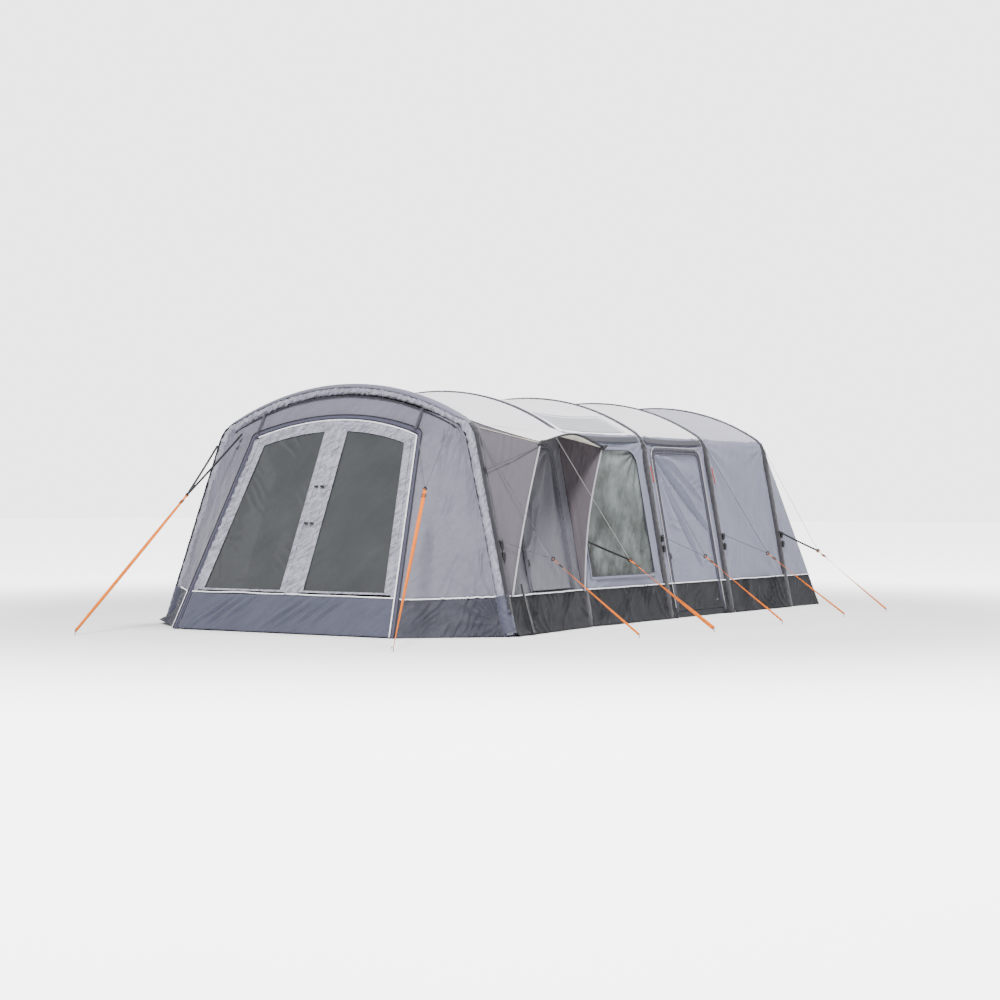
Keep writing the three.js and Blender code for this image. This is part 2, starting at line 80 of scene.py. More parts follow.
# Each side guy: its ring, its peg and the sides it stands on, given for the right side.
SIDE_GUYS = [
    ((2.140, -2.608, 0.643), (2.850, -2.414, 0.0), (1.0,)),
    ((2.140, -1.312, 0.605), (3.000, -1.370, 0.0), (1.0, -1.0)),
    ((2.140, 0.130, 0.605), (3.000, -0.010, 0.0), (1.0, -1.0)),
    ((2.140, 1.475, 0.605), (3.000, 1.390, 0.0), (1.0, -1.0)),
    ((2.140, 2.686, 0.605), (3.000, 2.440, 0.0), (1.0, -1.0)),
]
RIGHT_FRONT_GUY = ((1.368, -3.354, 1.222), (2.060, -4.740, 0.0))
LEFT_FRONT_GUY = ((1.272, -3.300, 1.178), (1.315, -4.640, 0.0))
LEFT_FRONT_TABS = ((1.080, -2.770, 1.735), (1.447, -2.690, 1.632))
PEG_TOP = 0.030
PIPING = 0.0055

# Along an arch, q runs from 0 at the right foot to 1 at the left: its leg ends at LEG_Q, and the bend of its
# shoulder at CORNER_Q.
LEG_Q = 0.1
CORNER_Q = 0.2
BACKDROP = 3.5  # how bright the camera sees the studio behind the tent


# ---- camera and light ----
def add_camera():
    data = bpy.data.cameras.new("camera")
    data.sensor_width = 36.0
    data.lens = 72.9
    data.clip_end = 200.0
    camera = bpy.data.objects.new("camera", data)
    camera.location = (10.957, -16.912, 1.1137)
    camera.rotation_euler = (math.radians(90.063), 0.0, math.radians(33.149))
    bpy.context.scene.collection.objects.link(camera)
    bpy.context.scene.camera = camera


def add_area_light(name, place, target, size, power):
    data = bpy.data.lights.new(name, "AREA")
    data.shape = "DISK"
    data.size = size
    data.energy = power
    light = bpy.data.objects.new(name, data)
    light.location = place
    direction = np.array(target, float) - np.array(place, float)
    yaw = math.atan2(direction[1], direction[0]) - math.pi / 2
    tilt = math.atan2(math.hypot(direction[0], direction[1]), -direction[2])
    light.rotation_euler = (tilt, 0.0, yaw)
    bpy.context.scene.collection.objects.link(light)


def add_world():
    """White studio: the camera sees it brighter than it lights the tent."""
    world = bpy.data.worlds.new("studio")
    world.use_nodes = True
    tree = world.node_tree
    sky = tree.nodes["Background"]
    sky.inputs["Color"].default_value = (1.0, 1.0, 1.0, 1.0)
    sky.inputs["Strength"].default_value = 0.6
    backdrop = tree.nodes.new("ShaderNodeBackground")
    backdrop.inputs["Color"].default_value = (1.0, 1.0, 1.0, 1.0)
    backdrop.inputs["Strength"].default_value = BACKDROP
    path = tree.nodes.new("ShaderNodeLightPath")
    mix = tree.nodes.new("ShaderNodeMixShader")
    tree.links.new(path.outputs["Is Camera Ray"], mix.inputs[0])
    tree.links.new(sky.outputs[0], mix.inputs[1])
    tree.links.new(backdrop.outputs[0], mix.inputs[2])
    tree.links.new(mix.outputs[0], tree.nodes["World Output"].inputs["Surface"])
    bpy.context.scene.world = world


add_camera()
add_world()
add_area_light("key", (7.0, -13.0, 13.0), (0.0, 0.0, 0.8), 3.0, 5200.0)
add_area_light("top", (3.0, 4.0, 16.0), (0.0, 0.5, 0.0), 5.0, 3600.0)
add_area_light("fill", (-11.0, -8.0, 7.0), (0.0, 0.0, 1.0), 6.0, 300.0)


# ---- materials ----
def linear(red, green, blue):
    """A colour given in 0..255 as a screen shows it, made linear."""
    def channel(c):
        c /= 255.0
        return c / 12.92 if c <= 0.04045 else ((c + 0.055) / 1.055) ** 2.4
    return tuple(channel(c) for c in (red, green, blue)) + (1.0,)


def shade(colour, factor):
    return tuple(min(c * factor, 1.0) for c in colour[:3]) + (1.0,)


class Graph:
    """A material's nodes, with short calls to add and join them."""

    def __init__(self, name):
        self.material = bpy.data.materials.new(name)
        self.material.use_nodes = True
        self.tree = self.material.node_tree
        self.shader = self.tree.nodes["Principled BSDF"]

    def node(self, kind, **values):
        node = self.tree.nodes.new(kind)
        for key, value in values.items():
            if hasattr(node, key):
                setattr(node, key, value)
            else:
                node.inputs[key.replace("_", " ")].default_value = value
        return node

    def set_shader(self, **values):
        for key, value in values.items():
            self.shader.inputs[key.replace("_", " ")].default_value = value

    def join(self, start, end):
        self.tree.links.new(start, end)

    def plane(self, plane):
        """Object coordinates turned so that X and Y lie in the named plane."""
        coord = self.node("ShaderNodeTexCoord")
        split = self.node("ShaderNodeSeparateXYZ")
        merge = self.node("ShaderNodeCombineXYZ")
        self.join(coord.outputs["Object"], split.inputs[0])
        order = {"front": "XZY", "side": "YZX", "top": "YXZ"}[plane]
        for target, source in zip("XYZ", order):
            self.join(split.outputs[source], merge.inputs[target])
        return merge.outputs[0]

    def stretched(self, place, angle, along, across):
        turn = self.node("ShaderNodeMapping", vector_type="TEXTURE")
        turn.inputs["Rotation"].default_value = (0.0, 0.0, math.radians(angle))
        turn.inputs["Scale"].default_value = (along, across, across)
        self.join(place, turn.inputs["Vector"])
        return turn.outputs[0]

    def noise(self, place, scale, detail=4.0, rough=0.55):
        node = self.node("ShaderNodeTexNoise")
        node.inputs["Scale"].default_value = scale
        node.inputs["Detail"].default_value = detail
        node.inputs["Roughness"].default_value = rough
        self.join(place, node.inputs["Vector"])
        return node.outputs["Fac"]

    def ramp(self, value, dark, light, low=0.35, high=0.65):
        node = self.node("ShaderNodeValToRGB")
        node.color_ramp.elements[0].position = low
        node.color_ramp.elements[0].color = dark
        node.color_ramp.elements[1].position = high
        node.color_ramp.elements[1].color = light
        self.join(value, node.inputs[0])
        return node.outputs[0]

    def bump(self, height, strength, distance, before=None):
        node = self.node("ShaderNodeBump")
        node.inputs["Strength"].default_value = strength
        node.inputs["Distance"].default_value = distance
        self.join(height, node.inputs["Height"])
        if before is not None:
            self.join(before, node.inputs["Normal"])
        return node.outputs["Normal"]

    def weave(self, place, pitch):
        """A plain weave: threads both ways, as the product of two waves."""
        waves = []
        for angle in (0.0, 90.0):
            turned = self.stretched(place, angle, 1.0, 1.0)
            wave = self.node("ShaderNodeTexWave", wave_type="BANDS", bands_direction="X")
            wave.inputs["Scale"].default_value = 0.314 / pitch
            wave.inputs["Distortion"].default_value = 0.4
            self.join(turned, wave.inputs["Vector"])
            waves.append(wave.outputs["Fac"])
        product = self.node("ShaderNodeMath", operation="MULTIPLY")
        self.join(waves[0], product.inputs[0])
        self.join(waves[1], product.inputs[1])
        return product.outputs[0]


def fabric(name, colour, plane="side", rough=0.62, variation=0.07, crinkle=0.25, streak=(0.0, 0.2),
           pitch=0.003, sheen=0.15, fine=22.0, streak_size=(0.8, 0.10), fold_shade=0.88):
    """Coated polyester: colour drift, stretch wrinkles, fine crinkle and a plain weave; along the wrinkles
    the colour is darkened as painted shade in the folds.
    """
    g = Graph(name)
    place = g.plane(plane)
    angle, strength = streak
    drift = g.noise(place, 1.1, 5.0)
    base = g.ramp(drift, shade(colour, 1.0 - variation), shade(colour, 1.0 + variation * 0.7))
    streaks = g.noise(g.stretched(place, angle, *streak_size), 1.0, 2.0)
    crinkles = g.noise(place, fine, 7.0, 0.6)
    # painted shade in the folds: the colour is multiplied towards the dark factor along the wrinkle streaks
    fold_shade_mix = g.node("ShaderNodeMix", data_type="RGBA", blend_type="MULTIPLY")
    fold_shade_mix.inputs["Factor"].default_value = min(1.0, 0.35 + strength)
    g.join(base, fold_shade_mix.inputs["A"])
    painted_fold_shade = g.ramp(streaks, (fold_shade, fold_shade, fold_shade + 0.01, 1.0), (1.0, 1.0, 1.0, 1.0), 0.32, 0.60)
    g.join(painted_fold_shade, fold_shade_mix.inputs["B"])
    g.join(fold_shade_mix.outputs["Result"], g.shader.inputs["Base Color"])
    normal = g.bump(streaks, strength, 0.03)
    normal = g.bump(crinkles, crinkle, 0.008, normal)
    normal = g.bump(g.weave(place, pitch), 0.12, 0.0008, normal)
    g.join(normal, g.shader.inputs["Normal"])
    gloss = g.node("ShaderNodeMapRange")
    gloss.inputs["To Min"].default_value = rough - 0.08
    gloss.inputs["To Max"].default_value = rough + 0.12
    g.join(crinkles, gloss.inputs["Value"])
    g.join(gloss.outputs["Result"], g.shader.inputs["Roughness"])
    g.set_shader(Sheen_Weight=sheen, Specular_IOR_Level=0.35)
    return g.material


def webbing(name, colour, pitch=0.004, variation=0.12, sheen=0.2):
    """Woven tape: ribs across its length."""
    g = Graph(name)
    coord = g.node("ShaderNodeTexCoord").outputs["Object"]
    drift = g.noise(coord, 9.0, 4.0)
    base = g.ramp(drift, shade(colour, 1.0 - variation), shade(colour, 1.0 + variation))
    g.join(base, g.shader.inputs["Base Color"])
    ribs = g.node("ShaderNodeTexWave", wave_type="BANDS", bands_direction="DIAGONAL")
    ribs.inputs["Scale"].default_value = 0.314 / pitch
    g.join(coord, ribs.inputs["Vector"])
    normal = g.bump(ribs.outputs["Fac"], 0.4, 0.0012)
    g.join(normal, g.shader.inputs["Normal"])
    g.set_shader(Roughness=0.8, Specular_IOR_Level=0.2, Sheen_Weight=sheen)
    return g.material


def film(name, colour, highlight_colour, plane, alpha, rough, wrinkle, streak_angle, reflection_heights=None):
    """Flexible window film: glossy, with soft wrinkles; its colour lightens towards its second colour along
    the wrinkles, in patches, as painted highlights, and it may grow paler upward between two heights, a
    painted reflection.
    """
    g = Graph(name)
    place = g.plane(plane)
    streaks = g.noise(g.stretched(place, streak_angle, 0.42, 0.20), 1.0, 6.0, 0.58)
    highlight_patches = g.noise(place, 2.6, 7.0, 0.6)
    blend = g.node("ShaderNodeMath", operation="MULTIPLY")
    g.join(streaks, blend.inputs[0])
    g.join(highlight_patches, blend.inputs[1])
    shade_value = blend.outputs[0]
    # painted reflection: the film grows paler upward between the two heights
    if reflection_heights:
        coord = g.node("ShaderNodeTexCoord")
        split = g.node("ShaderNodeSeparateXYZ")
        rise = g.node("ShaderNodeMapRange")
        g.join(coord.outputs["Object"], split.inputs[0])
        g.join(split.outputs["Z"], rise.inputs["Value"])
        rise.inputs["From Min"].default_value, rise.inputs["From Max"].default_value = reflection_heights
        rise.inputs["To Min"].default_value, rise.inputs["To Max"].default_value = -0.06, 0.12
        total = g.node("ShaderNodeMath", operation="ADD")
        g.join(shade_value, total.inputs[0])
        g.join(rise.outputs["Result"], total.inputs[1])
        shade_value = total.outputs[0]
    # painted highlights: the colour lightens towards the second colour where the wrinkles and patches rise
    g.join(g.ramp(shade_value, colour, highlight_colour, 0.14, 0.52), g.shader.inputs["Base Color"])
    normal = g.bump(streaks, wrinkle, 0.03)
    normal = g.bump(g.noise(place, 14.0, 5.0), wrinkle * 0.6, 0.006, normal)
    g.join(normal, g.shader.inputs["Normal"])
    g.set_shader(Roughness=rough, Alpha=alpha, Coat_Weight=0.1)
    return g.material


def grained(name, colour, grain, tones, bump, rough, metallic=0.0):
    """Moulded plastic or galvanised steel, with a fine grain: its scale and detail, and its darkest and
    lightest tone."""
    g = Graph(name)
    coord = g.node("ShaderNodeTexCoord").outputs["Object"]
    noise = g.noise(coord, *grain)
    g.join(g.ramp(noise, shade(colour, tones[0]), shade(colour, tones[1])), g.shader.inputs["Base Color"])
    g.join(g.bump(noise, *bump), g.shader.inputs["Normal"])
    g.set_shader(Roughness=rough, Metallic=metallic)
    return g.material


# In each cloth, the darkest factor given for its wrinkles (0.88 unless set) is painted shade in the folds.
LOOKS = {
    "roof": fabric("roof cloth", linear(226, 225, 231), "top", crinkle=0.1, streak=(0, 0.08), variation=0.03),
    "roof_rear": fabric("rear roof cloth", linear(166, 165, 180), "top", crinkle=0.1, streak=(0, 0.08),
                        variation=0.03),
    "wall": fabric("wall cloth", linear(112, 115, 133), "side", crinkle=0.25, streak=(62, 0.22),
                   variation=0.06),
    "front": fabric("front cloth", linear(105, 104, 117), "front", crinkle=0.25, streak=(50, 0.35),
                    streak_size=(0.40, 0.055), fold_shade=0.84),
    "pucker": fabric("puckered cloth", linear(154, 154, 167), "front", crinkle=0.2, streak=(36, 0.9),
                     fine=12.0, streak_size=(0.15, 0.026), variation=0.08, fold_shade=0.50),
    "beam_front": fabric("front beam sleeve", linear(150, 150, 164), "front", crinkle=0.2, streak=(60, 0.9),
                         fine=12.0, streak_size=(0.10, 0.022), variation=0.08, fold_shade=0.56),
    "cover": fabric("beam cover cloth", linear(98, 98, 113), "front", crinkle=0.2, streak=(0, 0.15)),
    "skirt_front": fabric("front skirt cloth", linear(68, 70, 86), "front", crinkle=0.3, streak=(42, 0.35),
                          streak_size=(0.6, 0.07), fold_shade=0.8),
    "skirt_wing": fabric("wing skirt cloth", linear(47, 48, 59), "front", crinkle=0.3, streak=(42, 0.4),
                         streak_size=(0.5, 0.07), fold_shade=0.75),
    "skirt": fabric("skirt cloth", linear(22, 24, 30), "side", crinkle=0.3, streak=(30, 0.4), variation=0.3,
                    sheen=0.04, streak_size=(0.5, 0.14), fold_shade=0.75),
    "band": fabric("beam sleeve cloth", linear(38, 37, 44), "side", crinkle=0.5, streak=(80, 0.5), fine=30.0,
                   variation=0.15),
    "ridge": fabric("ridge band cloth", linear(52, 52, 63), "top", crinkle=0.2, streak=(0, 0.1)),
    "porch": fabric("porch cloth", linear(84, 80, 88), "side", crinkle=0.15, streak=(75, 0.2),
                    variation=0.05),
    "porch_dark": fabric("porch side cloth", linear(88, 82, 88), "side", crinkle=0.15, streak=(75, 0.2)),
    "recess": fabric("porch wall cloth", linear(94, 94, 104), "side", crinkle=0.3, streak=(55, 0.4),
                     fold_shade=0.8),
    "recess_tape": fabric("porch zip tape", linear(72, 72, 82), "side", crinkle=0.3, streak=(90, 0.3)),
    "cream": fabric("canopy lining", linear(232, 226, 208), "top", crinkle=0.2, streak=(0, 0.1)),
    "zip": fabric("zip tape", linear(48, 48, 60), "front", crinkle=0.3, streak=(90, 0.3), pitch=0.002),
    "zip_flap": fabric("zip flap", linear(66, 66, 84), "front", crinkle=0.3, streak=(60, 0.3)),
    "piping": webbing("white piping", linear(240, 240, 245), 0.003, 0.03),
    "tape": webbing("pale tape", linear(165, 163, 168), 0.003, 0.05),
    "dark_line": webbing("dark binding", linear(36, 36, 44), 0.003, 0.1),
    # Each film's second colour is a painted highlight along its wrinkles; the side pane's two heights make it
    # pale upward, a painted reflection.
    "pane_front": film("tinted pane", linear(41, 44, 47), linear(54, 57, 59), "front", 1.0, 0.5, 0.3, 38),
    "pane_side": film("clear pane", linear(44, 49, 46), linear(136, 143, 143), "side", 0.94, 0.22, 0.8, 56,
                      (0.43, 1.61)),
    "pane_roof": film("roof light pane", linear(168, 173, 178), linear(184, 188, 192), "top", 1.0, 0.4,
                      0.2, 0),
    "floor_sheet": fabric("groundsheet", linear(54, 57, 63), "top", crinkle=0.4, streak=(20, 0.2)),
    "bedroom": fabric("bedroom cloth", linear(200, 194, 178), "side", crinkle=0.3, streak=(80, 0.3)),
    "orange": webbing("orange webbing", linear(214, 107, 4), 0.005, 0.08, 0.0),
    "black_web": webbing("black webbing", linear(26, 26, 30), 0.004, 0.15),
    "cord": webbing("pale cord", linear(135, 136, 134), 0.005, 0.1),
    "cord_dark": webbing("dark cord", linear(70, 68, 76), 0.005, 0.1),
    "black": grained("black plastic", linear(22, 22, 25), (400.0, 3.0), (0.85, 1.2), (0.15, 0.0004), 0.45),
    "red": webbing("red tab", linear(160, 52, 24), 0.003, 0.1, 0.0),
    "steel": grained("peg steel", linear(150, 150, 152), (250.0, 4.0), (0.8, 1.1), (0.2, 0.0003), 0.35, 1.0),
}
SIDES = ((1.0, "right"), (-1.0, "left"))
SIDE_NAME = dict(SIDES)


# ---- mesh tools ----
def link(name, vertices, faces, look, body, replaces):
    """A smooth mesh from the record's point of view: its look, body and the nodes it stands for."""
    mesh = bpy.data.meshes.new(name)
    mesh.from_pydata([tuple(v) for v in vertices], [], faces)
    mesh.validate()
    mesh.polygons.foreach_set("use_smooth", [True] * len(mesh.polygons))
    mesh.materials.append(LOOKS[look])
    piece = bpy.data.objects.new(name, mesh)
    bpy.context.scene.collection.objects.link(piece)
    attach(piece, body)
    if replaces:
        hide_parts(*replaces)
    return piece


def grid_faces(rows, columns, keep, wrap):
    last = columns if wrap else columns - 1
    faces = []
    for i in range(rows - 1):
        for j in range(last):
            if keep is None or keep[i, j]:
                k = (j + 1) % columns
                faces.append((i * columns + j, i * columns + k, (i + 1) * columns + k, (i + 1) * columns + j))
    return faces


def normals_of(points):
    """Unit normals of a grid of points, turned away from the middle of the tent."""
    along = np.gradient(points, axis=0)
    across = np.gradient(points, axis=1)
    normal = np.cross(along, across)
    normal /= np.maximum(np.linalg.norm(normal, axis=2, keepdims=True), 1e-9)
    outward = points - np.array([0.0, 0.0, 0.3])
    sign = np.sign((normal * outward).sum(axis=2).mean())
    return normal * (sign if sign else 1.0)


def raise_by(points, height):
    """A grid of points moved outward along its normals."""
    return points + normals_of(points) * np.asarray(height)[..., None]


def unit(vectors):
    return vectors / np.linalg.norm(vectors, axis=-1, keepdims=True)


def above_ground(points, least=0.0):
    points[..., 2] = np.maximum(points[..., 2], least)
    return points


def barrel(ends, middle):
    """A scale for swept pieces that is fuller in the middle than at the ends."""
    return lambda t: ends + middle * math.sin(math.pi * t)


def mix(a, b, t):
    return a * (1 - t) + b * t


def dome(t):
    """0 at both ends of 0..1 and 1 in the middle."""
    return 4 * t * (1 - t)


CLOTH = 0.0016


def cloth(name, points, look, body="root", keep=None, replaces=(), thickness=CLOTH):
    """A closed sheet of cloth: a grid of points, its copy just behind it, and the rim between them."""
    rows, columns = points.shape[:2]
    front = points.reshape(-1, 3)
    back = (points - normals_of(points) * thickness).reshape(-1, 3)
    back[:, 2] = np.maximum(back[:, 2], 0.0)
    faces = grid_faces(rows, columns, keep, False)
    count = len(front)
    edges = {(face[i], face[(i + 1) % 4]) for face in faces for i in range(4)}
    shell = list(faces)
    shell += [tuple(v + count for v in reversed(face)) for face in faces]
    for a, b in sorted(edges):
        if (b, a) not in edges:
            shell.append((b, a, a + count, b + count))
    vertices = np.vstack([front, back])
    used = np.unique(np.array([v for face in shell for v in face]))
    place = np.full(len(vertices), -1)
    place[used] = np.arange(len(used))
    shell = [tuple(int(place[v]) for v in face) for face in shell]
    piece = link(name, vertices[used], shell, look, body, replaces)
    return piece


def frames_along(path):
    """Side and up vectors at each point of a path."""
    path = np.asarray(path, float)
    tangent = unit(np.gradient(path, axis=0))
    side = np.zeros_like(path)
    start = np.cross(tangent[0], [0.0, 0.0, 1.0])
    if np.linalg.norm(start) < 0.1:
        start = np.array([1.0, 0.0, 0.0])
    side[0] = unit(start)
    for i in range(1, len(path)):
        side[i] = unit(side[i - 1] - tangent[i] * np.dot(side[i - 1], tangent[i]))
    return side, np.cross(side, tangent)


def swept(name, path, section, look, body="root", replaces=(), twist=0.0, scale=None, relief=None):
    """A closed tube: a section (columns of side and up offsets) carried along a path."""
    path = np.asarray(path, float)
    side, up = frames_along(path)
    section = np.asarray(section, float)
    if relief is not None:
        reach = np.linalg.norm(section, axis=1)
        around = np.arctan2(section[:, 1], section[:, 0]) * reach
        heights = relief(arc_along(path)[:, None], around[None, :])
    rows = []
    for i, point in enumerate(path):
        turn = twist * i / (len(path) - 1)
        size = 1.0 if scale is None else scale(i / (len(path) - 1))
        c, s = math.cos(turn), math.sin(turn)
        if relief is not None:
            size = size + heights[i] / reach
        x = (section[:, 0] * c - section[:, 1] * s) * size
        y = (section[:, 0] * s + section[:, 1] * c) * size
        rows.append(point + x[:, None] * side[i] + y[:, None] * up[i])
    vertices = np.array(rows).reshape(-1, 3)
    columns = len(section)
    faces = grid_faces(len(path), columns, None, True)
    faces.append(tuple(reversed(range(columns))))
    faces.append(tuple(range((len(path) - 1) * columns, len(path) * columns)))
    return link(name, vertices, faces, look, body, replaces)


def round_section(radius, sides=10):
    turns = np.arange(sides) * 2 * math.pi / sides
    return np.column_stack([radius * np.cos(turns), radius * np.sin(turns)])


def flat_section(width, thick):
    half, rise = width / 2, thick / 2
    return [(-half, -rise), (0.0, -rise * 1.2), (half, -rise), (half, rise), (0.0, rise * 1.2), (-half, rise)]


def smooth_path(points, count=24):
    """A smooth curve through the points, by Catmull-Rom."""
    points = np.asarray(points, float)
    padded = np.vstack([2 * points[0] - points[1], points, 2 * points[-1] - points[-2]])
    spans = len(points) - 1
    result = []
    for value in np.linspace(0, spans, count):
        i = min(int(value), spans - 1)
        t = value - i
        a, b, c, d = padded[i:i + 4]
        result.append(0.5 * (2 * b + (c - a) * t + (2 * a - 5 * b + 4 * c - d) * t ** 2
                             + (3 * b - a - 3 * c + d) * t ** 3))
    return np.array(result)


def arc_along(path):
    """Distance along a path at each of its points."""
    return np.concatenate([[0.0], np.cumsum(np.linalg.norm(np.diff(path, axis=0), axis=1))])


# ---- wrinkle fields ----
def waves(a, b, size, seed, count=8):
    """Soft undulation of about the given wavelength, between -1 and 1."""
    random = np.random.default_rng(seed)
    total = np.zeros(np.broadcast(a, b).shape)
    for _ in range(count):
        turn = random.uniform(0, 2 * math.pi)
        pace = 2 * math.pi / (size * random.uniform(0.7, 1.4))
        total = total + np.sin(pace * (a * math.cos(turn) + b * math.sin(turn)) + random.uniform(0, 6.3))
    return total / count * 1.6


def crease(a, b, start, end, depth, width):
    """One fold from start to end, deepest in its middle."""
    run = math.hypot(end[0] - start[0], end[1] - start[1])
    ux, uy = (end[0] - start[0]) / run, (end[1] - start[1]) / run
    along = ((a - start[0]) * ux + (b - start[1]) * uy) / run
    across = (b - start[1]) * ux - (a - start[0]) * uy
    inside = (along > 0) & (along < 1)
    fade = np.where(inside, np.sin(math.pi * np.clip(along, 0, 1)) ** 0.6, 0.0)
    return depth * fade * np.exp(-(across / width) ** 2)


def fan(a, b, corner, depth, reach, count, phase=0.0):
    """Folds that spread out from a corner where the cloth is pulled."""
    da, db = a - corner[0], b - corner[1]
    radius = np.hypot(da, db)
    turn = np.arctan2(db, da)
    return depth * np.exp(-radius / reach) * (1 - np.exp(-radius / 0.06)) * np.sin(count * turn + phase)


def slanted(a, b, angle, pitch, depth, seed):
    """Many thin folds in one direction, broken up along their length."""
    turn = math.radians(angle)
    across = -a * math.sin(turn) + b * math.cos(turn)
    along = a * math.cos(turn) + b * math.sin(turn)
    wobble = waves(a, b, pitch * 6, seed) * pitch * 0.8
    ridges = np.maximum(np.sin(2 * math.pi * (across + wobble) / pitch), 0) ** 2
    mask = np.clip(waves(along, across * 2, pitch * 9, seed + 1) * 1.4, 0, 1)
    return depth * ridges * mask


def puckers(a, b, angle, pitch, depth, seed):
    """Crumpled gathers: short sharp ridges in one direction, wandering and broken."""
    turn = math.radians(angle)
    across = -a * math.sin(turn) + b * math.cos(turn) + waves(a, b, pitch * 5, seed) * pitch * 0.9
    along = a * math.cos(turn) + b * math.sin(turn)
    ridge = 1 - np.abs(np.sin(math.pi * across / pitch))
    strength = 0.5 + 0.5 * np.clip(waves(along, across * 2, pitch * 3, seed + 1), -0.8, 1)
    return depth * (ridge * strength + 0.3 * waves(a, b, pitch * 0.8, seed + 2))


# ---- the tent's surfaces ----
class Arch:
    """The tent's section at a beam: q runs from 0 at the right foot over the crown to 1 at the left foot."""

    def __init__(self, foot, shoulder, lean, inset=0.0, crown=HEIGHT):
        self.foot = foot - inset
        self.shoulder = shoulder[0] - inset
        self.shoulder_z = shoulder[1] - inset / 2
        self.crown = crown - inset
        self.lean = lean
        rise = self.crown - self.shoulder_z
        self.radius = (self.shoulder ** 2 + rise ** 2) / (2 * rise)
        self.half = math.asin(self.shoulder / self.radius) - CORNER_REACH / self.radius
        self.leg_end = 1 - CORNER_REACH / math.hypot(self.foot - self.shoulder, self.shoulder_z)

    def leg(self, t):
        return self.foot + (self.shoulder - self.foot) * t, self.shoulder_z * t

    def crown_at(self, angle):
        return self.radius * np.sin(angle), self.crown - self.radius + self.radius * np.cos(angle)

    def at(self, q):
        q = np.asarray(q, float)
        side = np.where(q <= 0.5, 1.0, -1.0)
        h = np.minimum(q, 1 - q)
        x, z = self.leg(np.clip(h / LEG_Q, 0, 1) * self.leg_end)
        start, end = self.leg(self.leg_end), self.crown_at(self.half)
        t = np.clip((h - LEG_Q) / (CORNER_Q - LEG_Q), 0, 1)
        bend_x = (1 - t) ** 2 * start[0] + 2 * t * (1 - t) * self.shoulder + t ** 2 * end[0]
        bend_z = (1 - t) ** 2 * start[1] + 2 * t * (1 - t) * self.shoulder_z + t ** 2 * end[1]
        top_x, top_z = self.crown_at(self.half * (1 - np.clip((h - CORNER_Q) / (0.5 - CORNER_Q), 0, 1)))
        x = np.where(h < LEG_Q, x, np.where(h < CORNER_Q, bend_x, top_x))
        z = np.where(h < LEG_Q, z, np.where(h < CORNER_Q, bend_z, top_z))
        return side * x, z, self.lean * z / HEIGHT


ARCHES = [Arch(FRONT_FOOT, FRONT_SHOULDER, FRONT_LEAN)]
ARCHES += [Arch(BODY_FOOT, BODY_SHOULDER, BODY_LEAN) for _ in range(4)]


def fly(k, q, w):
    """The fly between beam k and the next: w runs from one beam to the other."""
    xa, za, ba = ARCHES[k].at(q)
    xb, zb, bb = ARCHES[k + 1].at(q)
    y = mix(BEAM_Y[k] + ba, BEAM_Y[k + 1] + bb, w)
    return np.stack(np.broadcast_arrays(mix(xa, xb, w), y, mix(za, zb, w)), axis=-1)


def wall(foot, z, side=1.0, out=0.0):
    """A point on a side wall from its place along the ground and its height."""
    foot, z = np.broadcast_arrays(np.asarray(foot, float), np.asarray(z, float))
    k = np.clip(np.searchsorted(BEAM_Y, foot) - 1, 0, 3)
    y0, y1 = np.take(BEAM_Y, k), np.take(BEAM_Y, k + 1)
    t = (foot - y0) / (y1 - y0)
    feet = np.array([a.foot for a in ARCHES])
    rates = np.array([(a.foot - a.shoulder) / a.shoulder_z for a in ARCHES])
    leans = np.array([a.lean for a in ARCHES])
    x = mix(feet[k] - rates[k] * z, feet[k + 1] - rates[k + 1] * z, t)
    lean = mix(leans[k], leans[k + 1], t)
    return np.stack([side * (x + out), foot + lean * z / HEIGHT, z + out * 0.2], axis=-1)


def spread(*stops, step=0.02):
    """Values from the first stop to the last that include every stop, about a step apart."""
    values = []
    for a, b in zip(stops[:-1], stops[1:]):
        count = max(2, int(round((b - a) / step)) + 1)
        values.extend(np.linspace(a, b, count)[:-1])
    return np.array(values + [stops[-1]])


def inside_opening(opening, foot, z, grow=0.0):
    """True where a cell's middle lies in an opening with rounded top corners."""
    start, end = opening["start"] - grow, opening["end"] + grow
    low, high = opening["low"] - grow, opening["high"] + grow
    radius = opening["radius"]
    inner = (foot > start) & (foot < end) & (z > low) & (z < high)
    above = z > high - radius
    for corner, outside in ((start + radius, foot < start + radius), (end - radius, foot > end - radius)):
        gone = above & outside & (np.hypot(foot - corner, z - high + radius) > radius)
        inner = inner & ~gone
    return inner


def opening_outline(opening, grow=0.0, count=8, open_bottom=False):
    """The outline's points as (foot, z), from the bottom rear corner up and over to the front."""
    start, end = opening["start"] - grow, opening["end"] + grow
    low, high = opening["low"] - grow, opening["high"] + grow
    radius = opening["radius"] + grow
    points = [(end, z) for z in np.linspace(low, high - radius, 14)]
    for turn in np.linspace(0, math.pi / 2, count)[1:]:
        points.append((end - radius + radius * math.cos(turn), high - radius + radius * math.sin(turn)))
    points += [(a, high) for a in np.linspace(end - radius, start + radius, 12)[1:]]
    for turn in np.linspace(math.pi / 2, math.pi, count)[1:]:
        points.append((start + radius + radius * math.cos(turn), high - radius + radius * math.sin(turn)))
    points += [(start, z) for z in np.linspace(high - radius, low, 14)[1:]]
    if not open_bottom:
        points += [(a, low) for a in np.linspace(start, end, 12)[1:]]
    return np.array(points)


